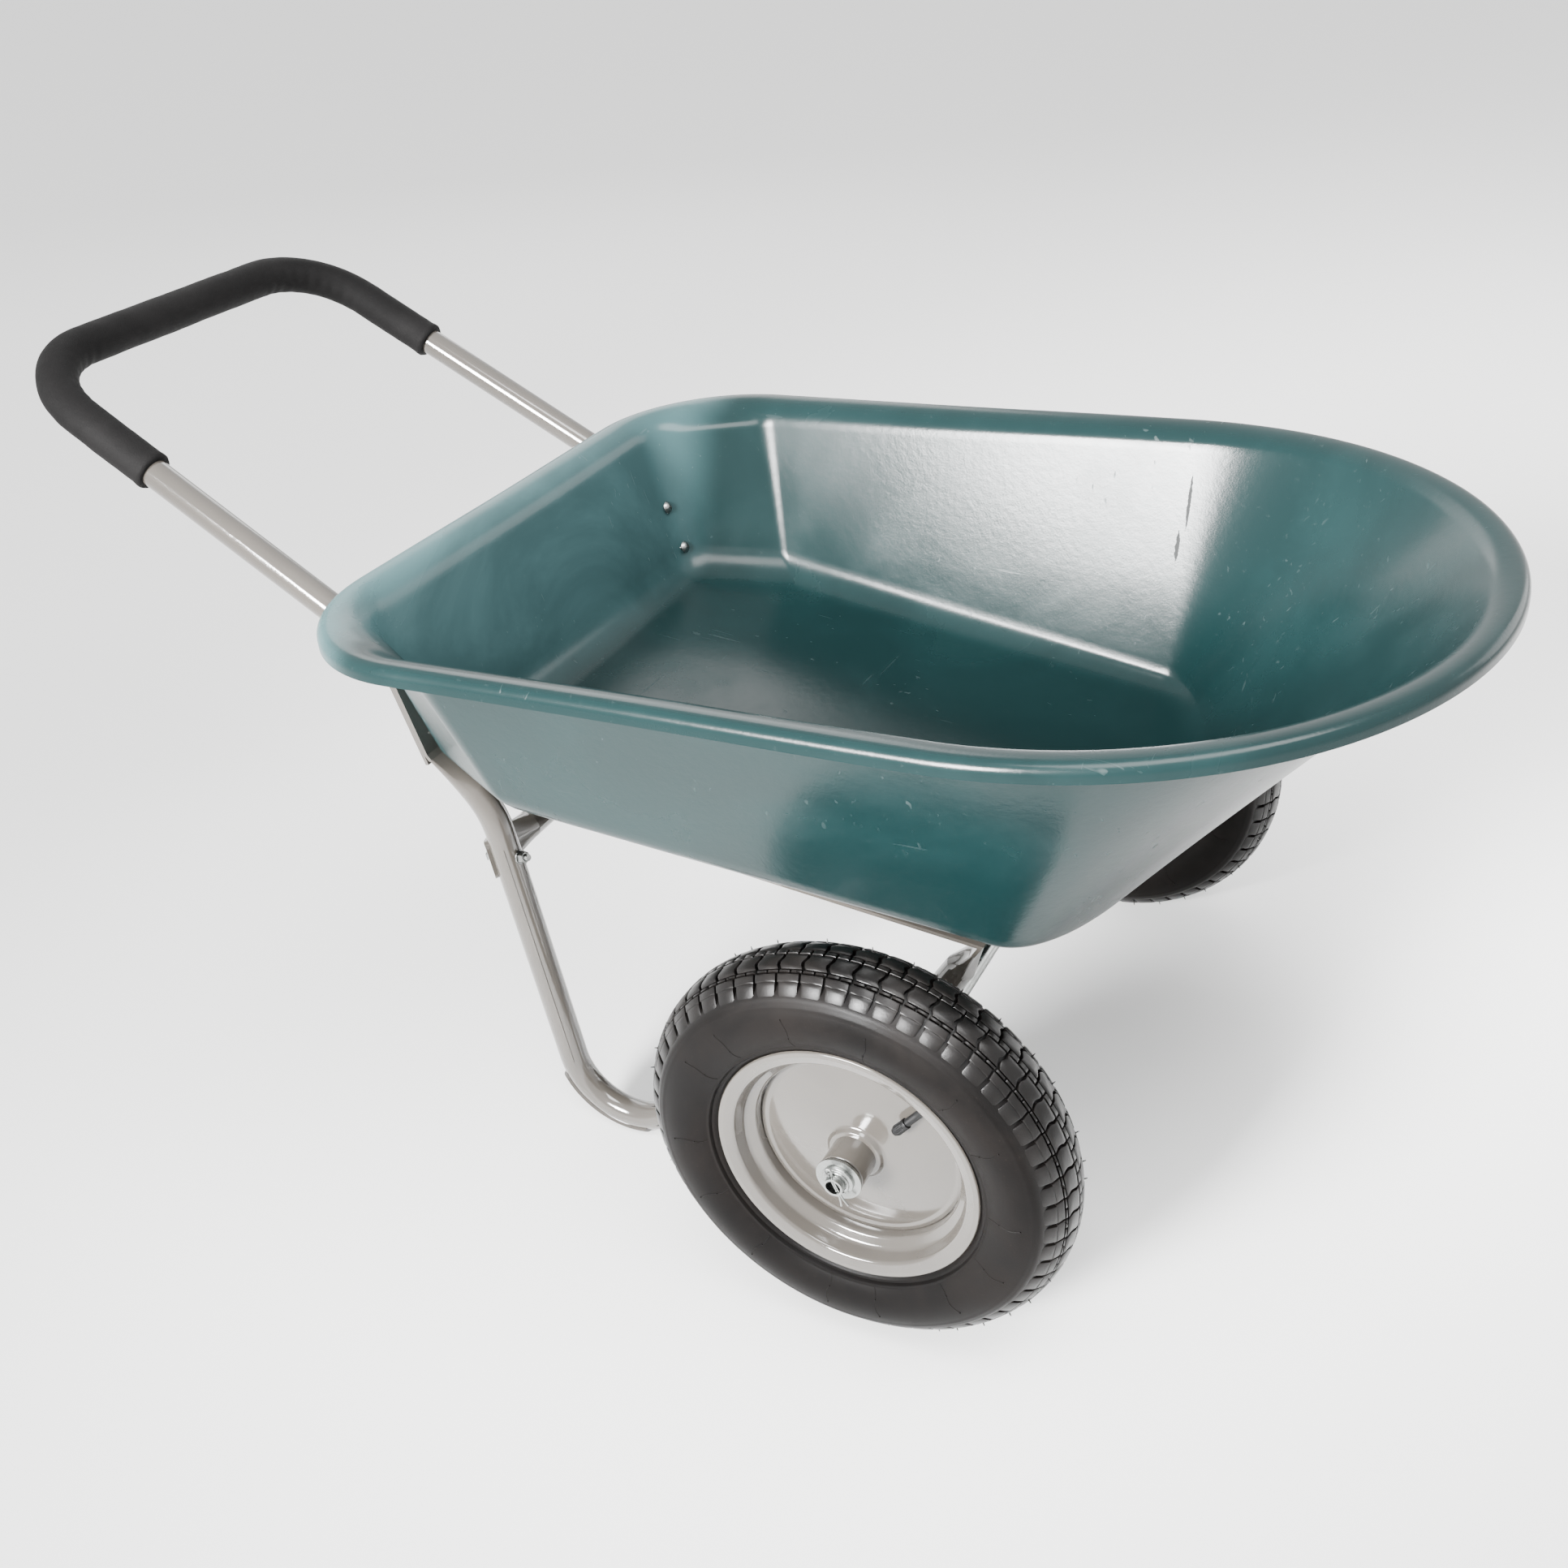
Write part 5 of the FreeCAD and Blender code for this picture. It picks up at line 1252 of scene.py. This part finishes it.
def disc_outline(sizes):
    """The dished disc, with its turned edge and the collar round the hub."""
    gauge = 0.0020
    hub = sizes.hub + 0.00005
    corners = [
        (0.0012, 0.0866, 0), (0.0034, 0.0866, 0.0008), (0.0040, 0.0830, 0.003), (0.0034, 0.0800, 0.004),
        (0.0066, 0.0600, 0.02), (0.0096, 0.0360, 0.02), (0.0108, hub + 0.0055, 0.004),
        (0.0150, hub + 0.0030, 0.002), (0.0155, hub, 0), (0.0108 - gauge, hub, 0),
        (0.0096 - gauge, 0.0360, 0.02), (0.0066 - gauge, 0.0600, 0.02), (0.0034 - gauge, 0.0800, 0.002)]
    return rounded(corners, 6)


def hub_outline(sizes):
    half = sizes.hub_half
    edge = 0.0010
    return rounded([
        (-half, sizes.hub_bore, edge / 2), (-half, sizes.hub, edge), (half, sizes.hub, edge),
        (half, sizes.hub_bore, edge / 2)], 4)


class WHEELBARROW_OT_rims(bpy.types.Operator):
    """Build the painted rims, discs and hubs"""
    bl_idname = "wheelbarrow.rims"
    bl_label = "Rims and hubs"

    segments: bpy.props.IntProperty(name="Segments", description="Steps round a rim", default=192, min=24)

    def execute(self, context):
        sizes = context.scene.barrow_wheels
        paint = Effects.material("paint")
        for name, side in SIDES.items():
            centre = JOINT_PLACES[WHEELS[name]]
            for piece, outline, node in (
                    ("pressed_rim_", rim_outline(sizes), "rim_"),
                    ("dished_disc_", disc_outline(sizes), "wheel_disc_"),
                    ("hub_sleeve_", hub_outline(sizes), "hub_tube_")):
                thing = lathe(piece + name, outline, self.segments, centre, side)
                finished(thing, WHEELS[name], paint, [node + name])
            for bush in ("outer_bush_", "inner_bush_"):
                dress(bush + name, "moulding")
            dress("inner_tube_" + name, "moulding")
        return {"FINISHED"}


# ---------------------------------------------------------------- valves

class WHEELBARROW_OT_valves(bpy.types.Operator):
    """Build the ribbed valve caps and dress the stems"""
    bl_idname = "wheelbarrow.valves"
    bl_label = "Valves"

    def execute(self, context):
        sizes = context.scene.barrow_wheels
        black = Effects.material("moulding")
        repeat = ring_tree()
        half = sizes.cap_length / 2
        skin = sizes.cap_radius - 0.0004
        outline = rounded([
            (-half, skin - 0.0010, 0.0002), (-half, sizes.cap_radius, 0.0003),
            (0.0024 - half, sizes.cap_radius, 0.0003), (0.0028 - half, skin, 0.0002),
            (half - 0.0022, skin, 0.0006), (half - 0.0018, skin - 0.0007, 0.0003),
            (half, skin - 0.0010, 0.0008), (half, 0.0002, 0), (half - 0.0030, 0.0002, 0),
            (half - 0.0030, skin - 0.0010, 0)], 3)
        for name, side in SIDES.items():
            dress("valve_stem_" + name, "moulding")
            body = lathe("cap_body", outline, 44, Vector(), 1)
            spots = [Vector((skin, along, 0)) for along in (0.0034 - half, 0.0040 - half, half - 0.0032)]
            rib = rod("cap_rib", spots, [0.00025, 0.00038, 0.00034], 6)
            made_plain(rib, repeat, {
                "Count": sizes.cap_ribs, "Centre": Vector(), "Scatter": 0.0, "Seed": 0, "Material": black})
            cap = joined("ribbed_cap_" + name, [body, rib])
            out = math.sin(sizes.valve_lean)
            inward = math.cos(sizes.valve_lean)
            axis = Vector((-inward * math.cos(sizes.valve_angle), side * out,
                           -inward * math.sin(sizes.valve_angle)))
            turn = Y_AXIS.rotation_difference(axis).to_matrix().to_4x4()
            cap.data.transform(Matrix.Translation(node_middle("valve_cap_" + name)) @ turn)
            finished(cap, WHEELS[name], black, ["valve_cap_" + name])
        return {"FINISHED"}


# ---------------------------------------------------------------- axle fittings and bolts

def clusters(node):
    """The middle of each separate fitting in a frame node."""
    groups = []
    for vertex in frame["nodes"][node].data.vertices:
        near = [group for group in groups if (group[0] - vertex.co).length < 0.016]
        if near:
            near[0].append(vertex.co.copy())
        else:
            groups.append([vertex.co.copy()])
    middles = []
    for group in groups:
        low = [min(spot[axis] for spot in group) for axis in range(3)]
        high = [max(spot[axis] for spot in group) for axis in range(3)]
        middles.append((Vector(low) + Vector(high)) / 2)
    return middles


def hex_nut(sizes, middle, along, steps=48):
    """A hexagon nut with turned chamfers and a countersunk bore."""
    half = sizes.nut_height / 2
    turned = sizes.nut_flats / 2 * 0.97
    side = along.orthogonal().normalized()
    up = along.cross(side)
    points = []
    for step in range(steps):
        angle = 2 * math.pi * step / steps
        outward = side * math.cos(angle) + up * math.sin(angle)
        fold = (angle + math.pi / 6) % (math.pi / 3) - math.pi / 6
        corner = sizes.nut_flats / 2 / math.cos(fold)
        drop = (corner - turned) * 0.58
        profile = [(-half, sizes.nut_bore + 0.0004), (-half, turned), (drop - half, corner),
                   (half - drop, corner), (half, turned), (half, sizes.nut_bore + 0.0004),
                   (half - 0.0005, sizes.nut_bore), (0.0005 - half, sizes.nut_bore)]
        points += [middle + along * rise + outward * radius for rise, radius in profile]
    return new_piece("nut", points, faces_between(steps, len(profile), True), 25)


def pin_path(sizes, spot):
    """A wire from one leg's tip through the axle, round the eye and back to the other tip."""
    along = Vector((math.cos(sizes.pin_angle), 0, -math.sin(sizes.pin_angle)))
    across = Vector((along.z, 0, -along.x))
    wire = sizes.pin_wire
    reach = sizes.pin_reach
    eye = -(reach + 0.0046)
    half = []
    for part in range(6):
        share = part / 5
        half.append((reach + 0.0120 - 0.0110 * share, wire + 0.0024 * (1 - share) ** 1.5))
    half += [(0.0, wire), (-reach, wire)]
    loop = []
    for part in range(1, 12):
        turn = math.radians(16 + 328 * part / 12)
        loop.append((eye + sizes.pin_eye * math.cos(turn), sizes.pin_eye * math.sin(turn)))
    track = half + loop + [(rise, -out) for rise, out in half[::-1]]
    path = [spot + along * rise + across * out for rise, out in track]
    return path, [wire] * len(path)


def collar_outline(sizes, box):
    """The stepped collar that stands against the outer washer, with eased edges."""
    half = box.y / 2
    wide = box.x / 2
    step = wide - 0.0025
    return rounded([
        (-half, sizes.collar_bore, 0.0002), (-half, wide, 0.0003), (0.0, wide, 0.0007),
        (0.0004, step, 0.0006), (half, step, 0.0007), (half, sizes.collar_bore, 0.0004)], 4)


class WHEELBARROW_OT_fittings(bpy.types.Operator):
    """Dress the axle, its washers, collars and pins, and the bolts"""
    bl_idname = "wheelbarrow.fittings"
    bl_label = "Axle fittings and bolts"

    def execute(self, context):
        names = ["axle", "tray_bolts", "tray_washers", "brace_bolts", "brace_washers"]
        for side in SIDES:
            names += [f"axle_spacer_{side}", f"inner_washer_{side}", f"outer_washer_{side}"]
        for name in names:
            dress(name, "zinc")
        sizes = context.scene.barrow_fittings
        zinc = Effects.material("zinc")
        tray = context.scene.barrow_tray
        fall = tray.floor_back_height - tray.wall_back_height
        down = Vector((tray.floor_back - tray.wall_back, 0, fall)).normalized()
        wall_out = Vector((down.z, 0, -down.x))
        leg_across = Vector((math.cos(sizes.leg_angle), 0, math.sin(sizes.leg_angle)))
        for group, along in (("tray_nuts", wall_out), ("brace_nuts", leg_across)):
            nuts = [hex_nut(sizes, middle, along) for middle in clusters(group)]
            finished(joined("chamfered_" + group, nuts), "frame", zinc, [group])
        for name, side in SIDES.items():
            place_y = node_middle("split_pin_" + name).y
            hub = JOINT_PLACES[WHEELS[name]]
            pin = rod("bent_pin_" + name, *pin_path(sizes, Vector((hub.x, place_y, hub.z))), 10)
            finished(pin, "frame", zinc, ["split_pin_" + name])
            middle = node_middle("axle_collar_" + name)
            collar = lathe("turned_collar_" + name, collar_outline(sizes, node_size("axle_collar_" + name)),
                           72, Vector((hub.x, middle.y, hub.z)), side)
            finished(collar, "frame", zinc, ["axle_collar_" + name])
        return {"FINISHED"}


# ---------------------------------------------------------------- stage

def area_light(name, place, target, size, energy, spread=math.pi):
    light = bpy.data.lights.new(name, "AREA")
    light.shape = "RECTANGLE"
    light.size, light.size_y = size
    light.energy = energy
    light.spread = spread
    thing = bpy.data.objects.new(name, light)
    bpy.context.scene.collection.objects.link(thing)
    thing.location = place
    thing.rotation_euler = (Vector(target) - Vector(place)).to_track_quat("-Z", "Y").to_euler()


class WHEELBARROW_OT_stage(bpy.types.Operator):
    """Build the floor, the lights and the camera"""
    bl_idname = "wheelbarrow.stage"
    bl_label = "Stage"

    def execute(self, context):
        sizes = context.scene.barrow_stage
        half = sizes.floor / 2
        corners = [(-half, -half, 0), (half, -half, 0), (half, half, 0), (-half, half, 0)]
        floor = new_piece("studio_floor", corners, [(0, 1, 2, 3)])
        material, _, shader = new_material("Pale floor")
        shader.inputs["Base Color"].default_value = rgba(sizes.floor_tone)
        shader.inputs["Roughness"].default_value = 0.85
        floor.data.materials.append(material)

        world = bpy.data.worlds.new("Studio")
        world.use_nodes = True
        world.node_tree.nodes["Background"].inputs["Color"].default_value = (1, 1, 1, 1)
        world.node_tree.nodes["Background"].inputs["Strength"].default_value = sizes.sky
        context.scene.world = world
        area_light("Top light", (0.9, -0.6, 2.7), (0, 0, 0.3), (2.2, 1.2), sizes.top)
        area_light("Front light", (-0.55, -2.55, 1.50), (0.25, 0.28, 0.47), (1.15, 1.0),
                   sizes.front, sizes.spread)
        area_light("Back light", (-1.9, 2.3, 1.9), (0, 0, 0.4), (1.8, 1.4), sizes.back)
        area_light("Nose light", (2.1, 2.3, 1.4), (-0.2, 0, 0.45), (2.0, 1.4), sizes.nose)

        lens = bpy.data.cameras.new("Camera")
        camera = bpy.data.objects.new("Camera", lens)
        context.scene.collection.objects.link(camera)
        turn = math.radians(22.687)
        rise = math.radians(31.422)
        roll = math.radians(1.030)
        back = Vector((math.sin(turn) * math.cos(rise), -math.cos(turn) * math.cos(rise), math.sin(rise)))
        level = (-back).cross(Vector((0, 0, 1))).normalized()
        below = (-back).cross(level)
        right = level * math.cos(roll) + below * math.sin(roll)
        down = below * math.cos(roll) - level * math.sin(roll)
        facing = Matrix((right, -down, back)).transposed().to_4x4()
        facing.translation = Vector((0.6887, -1.1968, 1.1332))
        camera.matrix_world = facing
        lens.sensor_width = 36.0
        lens.lens = 39.81
        lens.shift_x = -0.1212
        lens.shift_y = -0.0134
        lens.clip_end = 50.0
        context.scene.camera = camera
        return {"FINISHED"}


# ---------------------------------------------------------------- panel and registration

OPERATORS = (
    WHEELBARROW_OT_stage,
    WHEELBARROW_OT_tray,
    WHEELBARROW_OT_grip,
    WHEELBARROW_OT_tubes,
    WHEELBARROW_OT_tyres,
    WHEELBARROW_OT_rims,
    WHEELBARROW_OT_valves,
    WHEELBARROW_OT_fittings,
)


class WHEELBARROW_PT_panel(bpy.types.Panel):
    """Lists what the wheelbarrow is built from"""
    bl_idname = "WHEELBARROW_PT_panel"
    bl_label = "Wheelbarrow"
    bl_space_type = "VIEW_3D"
    bl_region_type = "UI"
    bl_category = "Wheelbarrow"

    def draw(self, context):
        for operator in OPERATORS:
            self.layout.operator(operator.bl_idname)


GROUPS = {
    "barrow_tray": TraySizes,
    "barrow_grip": GripSizes,
    "barrow_wheels": WheelSizes,
    "barrow_fittings": FittingSizes,
    "barrow_finishes": Finishes,
    "barrow_stage": StageSizes,
}


def register():
    for group in GROUPS.values():
        bpy.utils.register_class(group)
    for name, group in GROUPS.items():
        setattr(bpy.types.Scene, name, bpy.props.PointerProperty(type=group))
    for operator in OPERATORS:
        bpy.utils.register_class(operator)
    bpy.utils.register_class(WHEELBARROW_PT_panel)


def unregister():
    bpy.utils.unregister_class(WHEELBARROW_PT_panel)
    for operator in reversed(OPERATORS):
        bpy.utils.unregister_class(operator)
    for name, group in GROUPS.items():
        delattr(bpy.types.Scene, name)
        bpy.utils.unregister_class(group)


def main():
    register()
    for operator in OPERATORS:
        space, name = operator.bl_idname.split(".")
        getattr(getattr(bpy.ops, space), name)()


if __name__ == "__main__":
    main()
